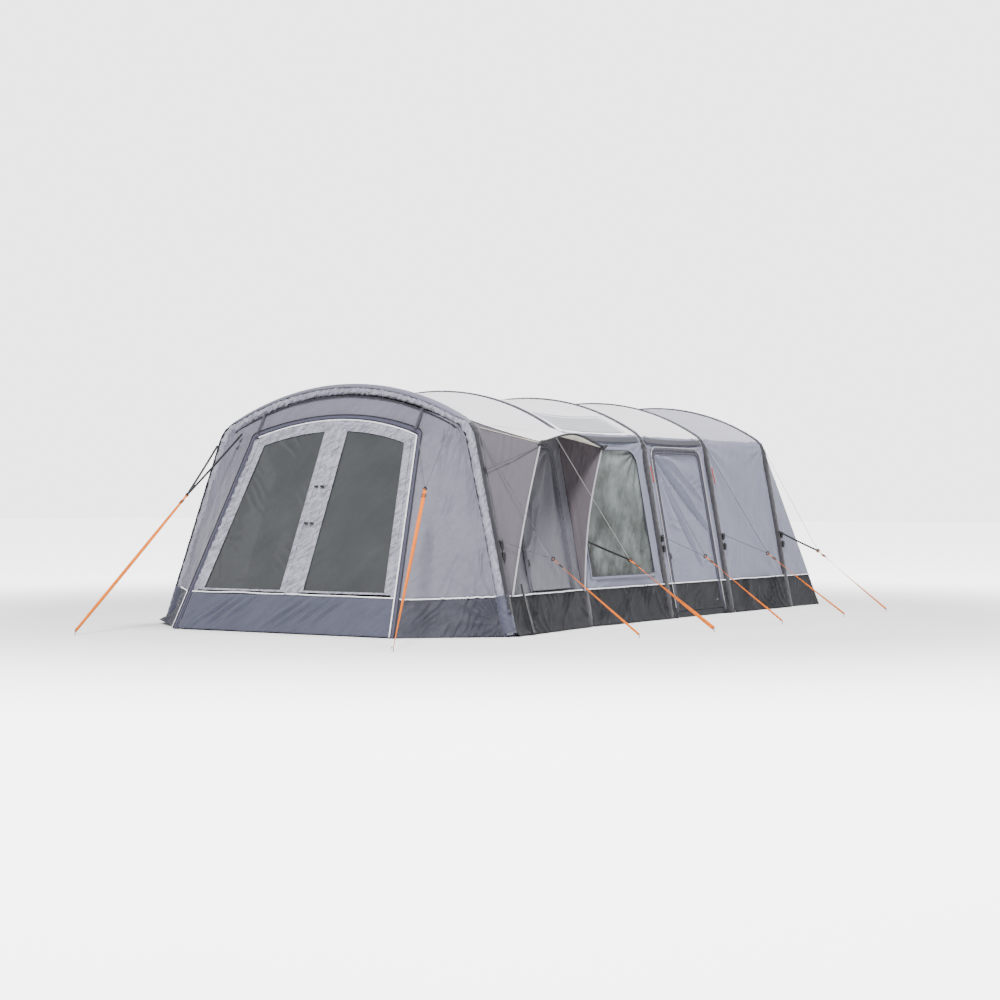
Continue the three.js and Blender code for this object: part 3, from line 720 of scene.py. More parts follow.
def ribbon(name, outline, place, width, look, body="root", rise=0.003):
    """A strip of cloth laid along an outline: place(a, b, out) puts a flat point on the surface."""
    tangent = unit(np.gradient(outline, axis=0))
    across = np.column_stack([-tangent[:, 1], tangent[:, 0]])
    rows = []
    for offset, height in ((-0.5, 0.0), (-0.25, rise), (0.0, rise * 1.3), (0.25, rise), (0.5, 0.0)):
        flat = outline + across * width * offset
        rows.append(place(flat[:, 0], flat[:, 1], height + 0.002))
    return cloth(name, np.stack(rows), look, body)


# ---- fly sheet ----
PORCH_BAY = 0
EAVE_Q = 0.165
RIDGE_HALF = 0.022


def rim_curve(count):
    """The porch canopy's edge, from its front corner over the top to its rear corner."""
    return smooth_path([RIM_FRONT, RIM_TOP, RIM_REAR], count)


def roof_panel(k):
    """The roof from eave to eave; over the porch bay it runs on down to the canopy's edge."""
    span = BEAM_Y[k + 1] - BEAM_Y[k]
    front_edge = 0.045 if k == 0 else RIDGE_HALF
    w = np.linspace(front_edge / span, 1 - RIDGE_HALF / span, 46)
    q = np.linspace(CORNER_Q if k == PORCH_BAY else EAVE_Q, 1 - EAVE_Q, 90)
    points = fly(k, q[:, None], w[None, :])
    near = np.minimum(w * span, (1 - w) * span)
    sag = 0.030 * dome(w)[None, :] * np.ones((len(q), 1))
    ride_over = 0.0045 * np.exp(-(near / 0.06) ** 2)[None, :]
    points = raise_by(points, ride_over - sag + 0.002 * waves(points[..., 0], points[..., 1], 0.9, 11 + k))
    if k == PORCH_BAY:
        rim = rim_curve(len(w))
        e = np.linspace(0, 1, 22)[:-1]
        canopy = np.stack([mix(rim, points[0], t) for t in e])
        hollow = 0.008 * np.sin(math.pi * e)[:, None] + 0.010 * dome(w)[None, :] * e[:, None]
        canopy = canopy - np.array([0.25, 0.0, 1.0]) * hollow[..., None]
        points = np.vstack([canopy, points])
    look = "roof_rear" if k == 3 else "roof"
    keep = None
    if k == 1:
        rows_q = (q[:-1] + q[1:]) / 2
        cols_w = (w[:-1] + w[1:]) / 2
        height = np.minimum(rows_q, 1 - rows_q)
        lit = (height > 0.206) & (height < 0.269)
        keep = ~(lit[:, None] & ((cols_w > 0.14) & (cols_w < 0.88))[None, :])
        add_roof_lights(points, q, w)
    nodes = (f"fly_bay_{k + 1}",) + (("porch_canopy",) if k == PORCH_BAY else ())
    cloth(f"roof_{k + 1}", points, look, keep=keep, replaces=nodes)


def add_roof_lights(points, q, w):
    for side, low, high in (("right", 0.197, 0.278), ("left", 0.722, 0.803)):
        rows = (q > low) & (q < high)
        columns = (w > 0.12) & (w < 0.90)
        pane = points[rows][:, columns]
        pane = raise_by(pane, -0.003)
        cloth(f"roof_light_pane_{side}", pane, "pane_roof", replaces=(f"roof_light_{side}",))
        seam = rim_of(pane) + np.array([0, 0, 0.003])
        swept(f"roof_light_seam_{side}", seam, flat_section(0.016, 0.003), "roof_rear")


def rim_of(grid):
    """The edge of a grid of points, as one closed line."""
    return np.vstack([grid[0], grid[1:, -1], grid[-1, -2::-1], grid[-2:0:-1, 0], grid[:1, 0]])


def wall_grid(k, side, z_low, z_high, stops_foot=(), stops_z=()):
    edge = 0.030
    feet = spread(BEAM_Y[k] + edge, *sorted(stops_foot), BEAM_Y[k + 1] - edge, step=0.016)
    heights = spread(z_low, *sorted(stops_z), z_high, step=0.016)
    return feet, heights, wall(feet[None, :], heights[:, None], side)


def wall_wrinkles(k, a, z):
    """How far a bay's wall stands out of its plane: soft swells, folds fanning from the beams, and a sag."""
    h = 0.005 * waves(a, z, 0.6, 30 + k) + 0.002 * waves(a, z, 0.14, 40 + k)
    rear, fore = BEAM_Y[k + 1], BEAM_Y[k]
    h = h + fan(a, z, (rear, 1.72), 0.010, 0.5, 15) + fan(a, z, (fore, 1.72), 0.009, 0.5, 14, 1.0)
    h = h + fan(a, z, (rear, 0.2), 0.009, 0.45, 17) + fan(a, z, (fore, 0.2), 0.009, 0.45, 17, 0.6)
    if k == 3:
        h = h + slanted(a, z, 74, 0.07, 0.010, 61) * np.clip(1.1 - z, 0, 1)
    sag = (4 * (a - fore) * (rear - a)) / (rear - fore) ** 2
    return h - 0.016 * np.clip(sag, 0, 1)


def cut_round(openings, feet, heights):
    """Which cells of a wall's grid are left when its openings are cut out."""
    middle_foot = ((feet[:-1] + feet[1:]) / 2)[None, :]
    middle_z = ((heights[:-1] + heights[1:]) / 2)[:, None]
    keep = np.ones((len(heights) - 1, len(feet) - 1), bool)
    for opening in openings:
        keep &= ~inside_opening(opening, middle_foot, middle_z)
    return keep


def upper_wall(k, side, openings=()):
    """The wall from the piping up to the eave, cut round its openings."""
    stops_foot = [v for o in openings for v in (o["start"], o["end"])]
    stops_z = [v for o in openings for v in (o["low"], o["high"]) if v > SKIRT_Z]
    feet, heights, low_part = wall_grid(k, side, SKIRT_Z, 1.615, stops_foot, stops_z)
    t = (feet - BEAM_Y[k]) / (BEAM_Y[k + 1] - BEAM_Y[k])
    q = np.linspace(LEG_Q, EAVE_Q + 0.012, 9)
    bend = fly(k, q[:, None], t[None, :])
    bend[..., 0] *= side
    points = np.vstack([low_part, bend])
    flat_z = np.concatenate([heights, np.linspace(1.63, 1.80, len(q))])
    height = wall_wrinkles(k, feet[None, :], flat_z[:, None])
    points = raise_by(points, height)
    keep = cut_round(openings, feet, flat_z)
    label = SIDE_NAME[side]
    look = "recess" if (k == PORCH_BAY and side > 0) else "wall"
    cloth(f"wall_{label}_{k + 1}", points, look, keep=keep, replaces=(f"fly_bay_{k + 1}",))


def skirt(k, side, openings=()):
    """The dark strip along the ground, with a loose hem."""
    stops = [v for o in openings for v in (o["start"], o["end"])]
    feet, heights, points = wall_grid(k, side, 0.0, SKIRT_Z, stops)
    a, z = feet[None, :], heights[:, None]
    height = 0.005 * waves(a, z, 0.22, 70 + k) + slanted(a, z, 52 if side > 0 else 128, 0.07, 0.022, 72 + k)
    height = height + slanted(a, z, 118, 0.09, 0.014, 78 + k)
    height = height + (0.03 + 0.012 * waves(a, 0 * z, 0.3, 75 + k)) * np.clip(1 - z / 0.12, 0, 1) ** 2
    for opening in openings:
        clear = np.maximum(opening["start"] - a, a - opening["end"])
        height = height * np.clip(clear / 0.07, 0, 1)
    points = above_ground(raise_by(points, height))
    label = SIDE_NAME[side]
    cloth(f"skirt_{label}_{k + 1}", points, "skirt", keep=cut_round(openings, feet, heights),
          replaces=(f"fly_bay_{k + 1}",))
    ends = [v for o in openings for v in (o["start"] - 0.014, o["end"] + 0.014)]
    for index, (start, end) in enumerate(gaps_between(BEAM_Y[k] + 0.045, BEAM_Y[k + 1] - 0.045, ends)):
        foot = np.linspace(start, end, 40)
        line = wall(foot, np.full(40, SKIRT_Z), side, 0.009)
        line[:, 2] += 0.002 * waves(foot, foot, 0.4, 5)
        swept(f"piping_{label}_{k + 1}_{index + 1}", line, round_section(PIPING), "piping")


def gaps_between(start, end, stops):
    """The stretches from start to end that are left outside the stops, taken in pairs."""
    edges = [start] + sorted(stops) + [end]
    return list(zip(edges[0::2], edges[1::2]))


BEAM_LINES = [Arch(arch.foot, (arch.shoulder, arch.shoulder_z), arch.lean, BEAM_INSET) for arch in ARCHES]


def beam_path(k, q):
    """The middle line of an air beam, a little inside the fly's arch."""
    x, z, back = BEAM_LINES[k].at(q)
    return np.column_stack([x, BEAM_Y[k] + back, np.maximum(z, 0.014)])


def beam_tube(k):
    """The inflated beam in its sleeve; the front one's sleeve is gathered into puckers."""
    def puff(t):
        return 1.0 - 0.35 * max(0.0, 1 - min(t, 1 - t) / 0.01)

    def gathers(arc, around):
        return puckers(arc, around, 58, 0.070, 0.014, 7) - 0.007

    def soft(arc, around):
        return 0.0015 * waves(arc, around, 0.10, 8)

    steps, sides, look, relief = (620, 30, "beam_front", gathers) if k == 0 else (150, 20, "band", soft)
    swept(f"beam_{k + 1}", beam_path(k, np.linspace(0, 1, steps)), round_section(BEAM_RADIUS, sides), look,
          replaces=(f"air_beam_{k + 1}",), scale=puff, relief=relief)


def arch_frame(centre):
    """At each point of a line over an arch: the unit vectors to the rear and outward, square to the line."""
    tangent = unit(np.gradient(centre, axis=0))
    rear = unit(np.array([0.0, 1.0, 0.0]) - tangent * tangent[:, 1:2])
    outward = np.cross(rear, tangent)
    return rear, outward * np.sign((outward * (centre - [0, 0, 0.3])).sum(axis=1))[:, None]


def sleeve_part(name, k, span, radius, look, q_range=(0.0, 1.0), count=300, ripple=0.0012):
    """Part of a sleeve: span(h) gives the angles it covers, from outward (0) towards the rear (+)."""
    q = np.linspace(*q_range, count)
    centre = beam_path(k, q)
    rear, outward = arch_frame(centre)
    low, high = (np.radians([span(min(v, 1 - v))[i] for v in q]) for i in (0, 1))
    arc = arc_along(centre)
    columns = []
    for s in np.linspace(0, 1, 13):
        turn = low + (high - low) * s
        reach = radius + ripple * waves(arc, turn * radius, 0.06, 95 + k)
        spoke = outward * np.cos(turn)[:, None] + rear * np.sin(turn)[:, None]
        columns.append(centre + spoke * reach[:, None])
    return cloth(name, above_ground(np.stack(columns, axis=1), 0.001), look)


def arch_band(name, k, half_width, out, look, q_range, wrinkle):
    """A band laid over a beam: half_width(h) gives its half width at a place h from the foot."""
    q = np.linspace(*q_range, 150)
    x, z, back = ARCHES[k].at(q)
    centre = np.column_stack([x, BEAM_Y[k] + back, z])
    across, normal = arch_frame(centre)
    half = np.array([half_width(min(v, 1 - v)) for v in q])
    columns = []
    arc = arc_along(centre)
    for s in np.linspace(-1, 1, 13):
        rise = out * math.cos(s * math.pi / 2) ** 0.7 + 0.0035
        folds = wrinkle * waves(arc, arc * 0 + s * 0.05, 0.07, 90 + k)
        columns.append(centre + across * (half * s)[:, None] + normal * (rise + folds)[:, None])
    return cloth(name, above_ground(np.stack(columns, axis=1), 0.001), look)


def leg_to_ridge(h):
    """Wide on the leg, narrow on the roof."""
    t = min(max((h - 0.10) / 0.055, 0.0), 1.0)
    return 0.054 * (1 - t) + RIDGE_HALF * 1.15 * t


for k in range(5):
    beam_tube(k)
for k in range(1, 5):
    ridge_q = 0.155
    arch_band(f"sleeve_band_right_{k + 1}", k, leg_to_ridge, 0.012, "band", (0.0, ridge_q), wrinkle=0.003)
    arch_band(f"ridge_band_{k + 1}", k, leg_to_ridge, 0.013, "ridge", (ridge_q, 1 - ridge_q), wrinkle=0.0006)
    arch_band(f"sleeve_band_left_{k + 1}", k, leg_to_ridge, 0.012, "band", (1 - ridge_q, 1.0), wrinkle=0.003)


def eave_band(k, side):
    """The dark strip under the roof's edge, over a window or a door."""
    t = np.linspace(0.045, 0.955, 70)
    q = np.linspace(0.132, 0.162, 7)
    dip = 0.006 * dome(t)
    points = fly(k, q[:, None] - dip[None, :], t[None, :])
    points[..., 0] *= side
    inward = -0.016 * dome(t)
    points = raise_by(points, (0.013 + inward)[None, :] + 0 * q[:, None])
    cloth(f"eave_band_{SIDE_NAME[side]}_{k + 1}", points, "ridge")


WALL_OPENINGS = {
    (0, 1.0): [PORCH_DOOR],
    (1, 1.0): [SIDE_WINDOW],
    (1, -1.0): [SIDE_WINDOW],
    (2, 1.0): [SIDE_DOOR],
}
for k in range(4):
    roof_panel(k)
    for side in (1.0, -1.0):
        openings = WALL_OPENINGS.get((k, side), [])
        upper_wall(k, side, openings)
        skirt(k, side, [o for o in openings if o["low"] < SKIRT_Z])
        if openings and k > PORCH_BAY:
            eave_band(k, side)


# ---- side windows and doors ----
def edge_fade(opening, foot, z, reach=0.05):
    """0 at an opening's edge, rising to 1 a little way in."""
    across = np.minimum(foot - opening["start"], opening["end"] - foot)
    upright = np.minimum(z - opening["low"], opening["high"] - z)
    return np.clip(np.minimum(across, upright) / reach, 0, 1)


def panel_in(opening, side, height, grow, name, look, body, replaces, thickness=CLOTH):
    """The cloth or film that fills an opening; a door's lies flat at its edges, so it swings clear."""
    feet = spread(opening["start"] - grow, opening["end"] + grow, step=0.016)
    heights = spread(opening["low"] - grow, opening["high"] + grow, step=0.016)
    points = wall(feet[None, :], heights[:, None], side)
    rise = height(feet[None, :], heights[:, None])
    if body != "root":
        rise = rise * edge_fade(opening, feet[None, :], heights[:, None])
    points = raise_by(points, rise)
    middle_foot = ((feet[:-1] + feet[1:]) / 2)[None, :]
    middle_z = ((heights[:-1] + heights[1:]) / 2)[:, None]
    keep = inside_opening(opening, middle_foot, middle_z, grow)
    return cloth(name, points, look, body, keep=keep, replaces=replaces, thickness=thickness)


def on_wall(side):
    """wall() for one side, in the form that ribbon() asks for."""
    return lambda foot, z, out: wall(foot, z, side, out)


def window_folds(a, z):
    h = 0.006 * waves(a, z, 0.30, 101) + slanted(a, z, 62, 0.07, 0.008, 102) + 0.0015 * waves(a, z, 0.06, 103)
    return h + fan(a, z, (0.03, 1.6), 0.020, 0.45, 15) - 0.012


for side, label in SIDES:
    panel_in(SIDE_WINDOW, side, window_folds, 0.006, f"window_pane_{label}", "pane_side", "root",
             (f"side_window_{label}",), 0.0008)
    ribbon(f"window_binding_{label}", opening_outline(SIDE_WINDOW, 0.004), on_wall(side), 0.030, "wall")
    line = opening_outline(SIDE_WINDOW, -0.012)
    swept(f"window_piping_{label}", wall(line[:, 0], line[:, 1], side, 0.004), round_section(0.004),
          "dark_line")


def side_door_folds(a, z):
    h = 0.005 * waves(a, z, 0.35, 111) + slanted(a, z, 8, 0.06, 0.010, 112) + 0.0015 * waves(a, z, 0.08, 113)
    h = h + crease(a, z, (0.39, 1.60), (1.31, 0.86), 0.045, 0.026)
    h = h - crease(a, z, (0.39, 1.57), (1.31, 0.81), 0.055, 0.020)
    h = h + crease(a, z, (0.42, 1.45), (1.06, 0.48), 0.034, 0.020)
    h = h - crease(a, z, (0.42, 1.42), (1.04, 0.46), 0.030, 0.018)
    h = h + crease(a, z, (0.62, 1.58), (1.30, 1.12), 0.034, 0.020)
    return h + fan(a, z, (0.37, 1.60), 0.014, 0.6, 19) - 0.008


def porch_door_folds(a, z):
    h = 0.006 * waves(a, z, 0.30, 121) + fan(a, z, (-1.56, 1.60), 0.024, 0.55, 13)
    h = h + slanted(a, z, 55, 0.12, 0.014, 122)
    return h + crease(a, z, (-2.30, 1.0), (-1.75, 0.45), 0.022, 0.03) - 0.012


def zip_lines(label, opening, body, look):
    """The zip round a door: a dark tape on the door, another on the wall and a pale seam outside them."""
    place = on_wall(1.0)
    on_door = opening_outline(opening, -0.014, open_bottom=True)
    fixed = opening_outline(opening, 0.016, open_bottom=True)
    ribbon(f"{label}_zip_on_door", on_door, place, 0.022, look, body)
    ribbon(f"{label}_zip_on_wall", fixed, place, 0.026, look, rise=0.005)
    seam = opening_outline(opening, 0.040, open_bottom=True)
    swept(f"{label}_zip_seam", place(seam[:, 0], seam[:, 1], 0.006), round_section(0.004, 8),
          "tape" if look == "zip" else look)
    pull = place(np.array([opening["start"] + 0.02] * 2), np.array([0.62, 0.56]), 0.012)
    swept(f"{label}_zip_pull", pull, flat_section(0.012, 0.004), "black", body)


panel_in(SIDE_DOOR, 1.0, side_door_folds, -0.006, "side_door_cloth", "wall", "side_door", ("side_door",))
panel_in(PORCH_DOOR, 1.0, porch_door_folds, -0.006, "porch_door_cloth", "recess", "porch_door",
         ("porch_door",))
zip_lines("side_door", SIDE_DOOR, "side_door", "zip")
zip_lines("porch_door", PORCH_DOOR, "porch_door", "recess_tape")


def door_skirt(opening, body, name):
    """The dark foot of a door that reaches the skirt."""
    foot = np.linspace(opening["start"] + 0.008, opening["end"] - 0.008, 50)
    z = np.linspace(opening["low"] + 0.007, SKIRT_Z, 16)
    a, b = foot[None, :], z[:, None]
    folds = side_door_folds(a, b) + slanted(a, b, 50, 0.06, 0.01, 77)
    points = raise_by(wall(a, b, 1.0, 0.004), folds * edge_fade(opening, a, b))
    cloth(name, points, "skirt", body)
    foot = foot[1:-1]
    top = np.full(len(foot), SKIRT_Z)
    line = wall(foot, top, 1.0, 0.008)
    line[:, 0] += side_door_folds(foot, top) * edge_fade(opening, foot, top)
    swept(f"{name}_piping", line, round_section(PIPING), "piping", body)


door_skirt(SIDE_DOOR, "side_door", "side_door_foot")


# ---- front end ----
def door_half(z):
    """Half the front door's width at a height."""
    return DOOR_BOTTOM + (DOOR_CORNER - DOOR_BOTTOM) * z / DOOR_CORNER_Z


CROWN_RISE = DOOR_CROWN_Z - DOOR_CORNER_Z
CROWN_RADIUS = (DOOR_CORNER ** 2 + CROWN_RISE ** 2) / (2 * CROWN_RISE)


def door_top(x):
    """The height of the front door's arch."""
    return DOOR_CROWN_Z - CROWN_RADIUS + np.sqrt(CROWN_RADIUS ** 2 - np.asarray(x, float) ** 2)


def on_door(x, z, out=0.0):
    """A point on the sloping plane of the front door."""
    x, z, out = np.broadcast_arrays(np.asarray(x, float), np.asarray(z, float), np.asarray(out, float))
    return np.stack([x, DOOR_Y + DOOR_SLOPE * z - out * 0.9, z + out * 0.4], axis=-1)


def region(inner, outer_inset, bottom, top_inset, columns, rows):
    """A grid of (x, z) between an inner upright, the slanting side, a bottom line and the arched top."""
    s = np.linspace(0, 1, columns)[None, :]
    t = np.linspace(0, 1, rows)[:, None]
    low_x = inner + (door_half(bottom) - outer_inset - inner) * s
    high_x = inner + (DOOR_CORNER - outer_inset - inner) * s
    high_z = door_top(high_x) - top_inset
    return mix(low_x, high_x, t), mix(bottom, high_z, t)


def loop_of(x, z):
    """The outline of a grid, as one closed line of points."""
    return rim_of(np.stack([x, z], axis=-1))


def front_puckers(x, z):
    """The gathers round the front panes, which die out at the panes' edges."""
    half = np.abs(x)
    past_side = np.maximum(0.125 - half, half - door_half(z) + 0.112)
    past_end = np.maximum(z - door_top(np.minimum(half, CROWN_RADIUS)) + 0.092, 0.360 - z)
    return puckers(x, z, 36, 0.055, 0.017, 131) * np.clip(np.maximum(past_side, past_end) / 0.018, 0, 1)


def front_leaf(side, label):
    body = f"front_leaf_{label}"
    outer_loop = loop_of(*region(0.0715, 0.043, 0.343, 0.043, 130, 260))
    inner_loop = loop_of(*region(0.125, 0.112, 0.360, 0.092, 130, 260))
    blend = np.linspace(0, 1, 11)
    ring = mix(outer_loop[None], inner_loop[None], blend[:, None, None])
    a, b = side * ring[..., 0], ring[..., 1]
    fade = np.clip(blend * 5, 0, 1)[:, None]
    cloth(f"front_leaf_{label}_border", on_door(a, b, 0.003 + front_puckers(a, b) * fade), "pucker",
          body, replaces=(f"front_leaf_{label}",))
    x, z = region(0.120, 0.107, 0.355, 0.087, 60, 90)
    folds = 0.003 * waves(x, z, 0.5, 135) + slanted(x, z, 35, 0.09, 0.004, 136)
    cloth(f"front_window_{label}_pane", on_door(side * x, z, folds - 0.005), "pane_front", body,
          replaces=(f"front_window_{label}",), thickness=0.0008)


def door_outline(outset, bottom=0.0, count=60, rise=30):
    """Up the right side of the door, over its arch and down the left, as (x, z)."""
    z = np.linspace(bottom, DOOR_CORNER_Z, rise)
    right = np.column_stack([door_half(z) + outset, z])
    corner = DOOR_CORNER + outset
    x = np.linspace(corner, -corner, count)[1:-1]
    inner = np.clip(x * DOOR_CORNER / corner, -DOOR_CORNER, DOOR_CORNER)
    arch = np.column_stack([x, door_top(inner) + outset])
    right[-1, 1] += outset * 0.6
    left = right[::-1] * np.array([-1.0, 1.0])
    return np.vstack([right, arch, left])


def front_door():
    for side, label in SIDES:
        front_leaf(side, label)
    z = np.linspace(DOOR_RAIL, DOOR_CROWN_Z - 0.01, 330)[:, None]
    x = np.linspace(-0.0695, 0.0695, 31)[None, :]
    x, z = x + 0 * z, z + 0 * x
    fade = np.clip((0.0695 - np.abs(x)) / 0.012, 0, 1)
    cloth("front_middle_strip", on_door(x, z, 0.003 + front_puckers(x, z) * fade), "pucker",
          replaces=("front_door_frame",))
    edge = np.stack([door_outline(outset, DOOR_RAIL, 300, 240) for outset in np.linspace(-0.043, 0.004, 8)])
    fade = np.clip(np.linspace(0, 4, 8), 0, 1)[:, None]
    a, b = edge[..., 0], edge[..., 1]
    cloth("front_frame_border", on_door(a, b, 0.003 + front_puckers(a, b) * fade), "pucker",
          replaces=("front_door_frame",))
    ribbon("front_zip_flap", door_outline(0.030, 0.0, 120, 90), on_door, 0.050, "zip_flap",
           rise=0.008)
    for index, (outset, radius) in enumerate(((0.052, 0.006), (0.020, 0.004))):
        line = door_outline(outset, 0.005)
        swept(f"front_door_line_{index + 1}", on_door(line[:, 0], line[:, 1], 0.009), round_section(radius),
              "dark_line")
    line = door_outline(0.006, 0.005)[:-30]
    swept("front_door_piping", on_door(line[:, 0], line[:, 1], 0.010), round_section(0.006), "piping")
    foot = np.linspace(0.010, DOOR_RAIL, 12)
    swept("front_door_foot_piping", on_door(-door_half(foot) - 0.062, foot, 0.008), round_section(0.005),
          "piping")
    rail = np.linspace(-door_half(DOOR_RAIL), door_half(DOOR_RAIL), 80)
    sag = -0.006 * waves(rail, rail, 0.8, 143)
    swept("front_rail_piping", on_door(rail, DOOR_RAIL + 0.006 + sag, 0.009), round_section(0.006), "piping")
    for row, z in enumerate((1.245, 0.925)):
        for column, x in enumerate((-0.032, 0.032)):
            toggle(f"front_toggle_{row + 1}_{column + 1}", x, z)


def toggle(name, x, z):
    """A small barrel toggle in an elastic loop."""
    start = on_door(x - 0.021, z, 0.022)
    end = on_door(x + 0.021, z - 0.006, 0.022)
    path = np.linspace(start, end, 9)
    swept(name, path, round_section(0.009, 12), "black", scale=barrel(0.75, 0.45))
    loop = smooth_path([on_door(x - 0.012, z + 0.012, 0.010), on_door(x, z + 0.002, 0.026),
                        on_door(x + 0.012, z + 0.012, 0.010)], 14)
    swept(f"{name}_loop", loop, round_section(0.0025, 8), "cord_dark")


def threshold():
    z = np.linspace(0.008, DOOR_RAIL - 0.002, 26)[:, None]
    s = np.linspace(-1, 1, 170)[None, :]
    x = s * (door_half(z) - 0.004)
    z = z + 0 * x
    h = 0.004 * waves(x, z, 0.35, 151)
    folds = ((-1.02, 0.03, -0.62, 0.30), (-0.86, 0.05, -0.50, 0.31), (-0.26, 0.02, 0.16, 0.30),
             (-0.10, 0.03, 0.30, 0.31), (0.10, 0.06, 0.44, 0.31), (0.30, 0.10, 0.60, 0.31),
             (-0.66, 0.10, -0.38, 0.31))
    for x0, z0, x1, z1 in folds:
        h = h + crease(x, z, (x0, z0), (x1, z1), 0.022, 0.013)
        h = h - crease(x, z, (x0 + 0.03, z0), (x1 + 0.03, z1), 0.014, 0.014)
    h = h + slanted(x, z, 40, 0.05, 0.008, 152)
    cloth("front_threshold_cloth", on_door(x, z, 0.003 + h), "skirt_front", "front_threshold",
          replaces=("front_threshold",))


INNER_EDGE = Arch(FRONT_FOOT, FRONT_SHOULDER, FRONT_LEAN, 0.076)
HOOD_EDGE = Arch(FRONT_FOOT, FRONT_SHOULDER, FRONT_LEAN, 0.094)
FRAME_SCALE = DOOR_CORNER_Z / float(INNER_EDGE.at(CORNER_Q)[1])


def wing_points(q, w, side):
    """Between the door's side and the front beam: q up the leg, w from the door to the beam."""
    x, z, back = INNER_EDGE.at(q)
    frame_z = z * FRAME_SCALE
    beam = np.stack([x, BEAM_Y[0] + back - 0.035, z], axis=-1)
    edge = np.stack([door_half(frame_z) + 0.02, DOOR_Y + DOOR_SLOPE * frame_z, frame_z], axis=-1)
    points = edge[:, None] * (1 - w)[None, :, None] + beam[:, None] * w[None, :, None]
    points[..., 0] *= side
    return points


def front_wing(side, label):
    skirt_q = LEG_Q * SKIRT_Z / (INNER_EDGE.leg_end * INNER_EDGE.shoulder_z)
    w = np.linspace(0, 1, 100)
    for part, q in (("skirt", np.linspace(0, skirt_q, 26)), ("cloth", np.linspace(skirt_q, CORNER_Q, 120))):
        points = wing_points(q, w, side)
        a = w[None, :] * 1.05 + 0 * q[:, None]
        z = points[..., 2]
        h = 0.005 * waves(a, z, 0.6, 161)
        h = h + slanted(a, z, 48, 0.075, 0.034, 162) * np.clip(w * 1.6 - 0.35, 0, 1)[None, :]
        h = h + puckers(a, z, 25, 0.045, 0.010, 164) * np.clip(w * 5 - 4.1, 0, 1)[None, :]
        h = h + fan(a, z, (1.05, 1.80), 0.012, 0.6, 21) + fan(a, z, (1.05, 0.1), 0.016, 0.4, 17)
        if part == "skirt":
            flare = 0.12 if side < 0 else 0.03
            h = h + slanted(a, z, 40, 0.06, 0.018, 163)
            h = h + flare * np.clip(1 - z / 0.15, 0, 1) ** 2 * w[None, :]
        h = h * np.clip((CORNER_Q - q) / 0.025, 0, 1)[:, None]
        sag = 0.012 * dome(w)[None, :] * np.clip((CORNER_Q - q) / 0.03, 0, 1)[:, None]
        points = above_ground(raise_by(points, h - sag))
        look = "skirt_wing" if part == "skirt" else "front"
        cloth(f"front_wing_{label}_{part}", points, look, replaces=(f"front_wing_{label}",))
        if part == "skirt":
            swept(f"front_wing_{label}_piping", points[-1] + np.array([side * 0.003, -0.005, 0.0]),
                  round_section(0.006), "piping")


def hood():
    q = np.linspace(CORNER_Q, 1 - CORNER_Q, 110)
    low = np.column_stack(INNER_EDGE.at(q))
    high = np.column_stack(HOOD_EDGE.at(q))
    blend = np.clip((np.minimum(q, 1 - q) - CORNER_Q) / 0.08, 0, 1)[:, None]
    x, back, z = mix(low, high, blend)[:, [0, 2, 1]].T
    beam = np.column_stack([x, BEAM_Y[0] + back - 0.035, z])
    corner = DOOR_CORNER + 0.02
    frame_x = np.linspace(corner, -corner, 110)
    frame_z = door_top(np.clip(frame_x, -DOOR_CORNER, DOOR_CORNER))
    frame_z = frame_z + np.minimum(0.02, corner - np.abs(frame_x))
    edge = np.column_stack([frame_x, DOOR_Y + DOOR_SLOPE * frame_z, frame_z])
    w = np.linspace(0, 1, 26)
    points = mix(edge[None], beam[None], w[:, None, None])
    a, b = points[..., 0], points[..., 2]
    h = 0.003 * waves(a, b, 0.4, 171) + slanted(a, b, 80, 0.06, 0.006, 172)
    h = h - 0.012 * dome(w)[:, None]
    h = h * np.clip((np.minimum(q, 1 - q) - CORNER_Q) / 0.04, 0, 1)[None, :]
    cloth("front_hood_cloth", raise_by(points, h), "front", replaces=("front_hood",))
    for side, label in SIDES:
        low = on_door(DOOR_CORNER * 0.985, DOOR_CORNER_Z + 0.05, 0.030)
        arc_x, arc_z, arc_back = INNER_EDGE.at(np.linspace(0.2, 0.5, 200))
        at = int(np.argmin(np.abs(arc_x - low[0])))
        high = np.array([arc_x[at], BEAM_Y[0] + arc_back[at] - 0.062, arc_z[at] - 0.006])
        line = np.linspace(low, high, 12) * np.array([side, 1.0, 1.0])
        swept(f"hood_strap_{label}", line, flat_section(0.024, 0.003), "zip")


def front_beam_trim():
    """The dark piping under the front beam, the smooth cover on its crest and the webbing on its legs."""
    q = np.linspace(0.175, 0.825, 160)
    x, z, back = Arch(FRONT_FOOT, FRONT_SHOULDER, FRONT_LEAN, 0.099).at(q)
    line = np.column_stack([x, BEAM_Y[0] + back - 0.046, z])
    swept("front_beam_piping", line, round_section(0.007), "dark_line")

    def cover_span(h):
        t = min(max((h - 0.13) / 0.09, 0.0), 1.0)
        return mix(-16, -66, t), mix(20, 45, t)

    sleeve_part("front_beam_cover", 0, cover_span, 0.0565, "cover")
    for low, high, label in ((0.010, 0.158, "right"), (0.842, 0.990, "left")):
        sleeve_part(f"front_beam_webbing_{label}", 0, lambda h: (-34, 45), 0.063, "band", (low, high), 120,
                    0.002)
    for side, label in SIDES:
        foot = beam_path(0, np.linspace(0.0, LEG_Q * SKIRT_Z / FRONT_SHOULDER[1] * 1.06, 40))
        foot = foot * np.array([side, 1.0, 1.0])
        folds = lambda arc, around: 0.006 + puckers(arc, around, 50, 0.05, 0.008, 9)
        swept(f"front_beam_cuff_{label}", foot, round_section(BEAM_RADIUS + 0.004, 30), "skirt_front",
              relief=folds)


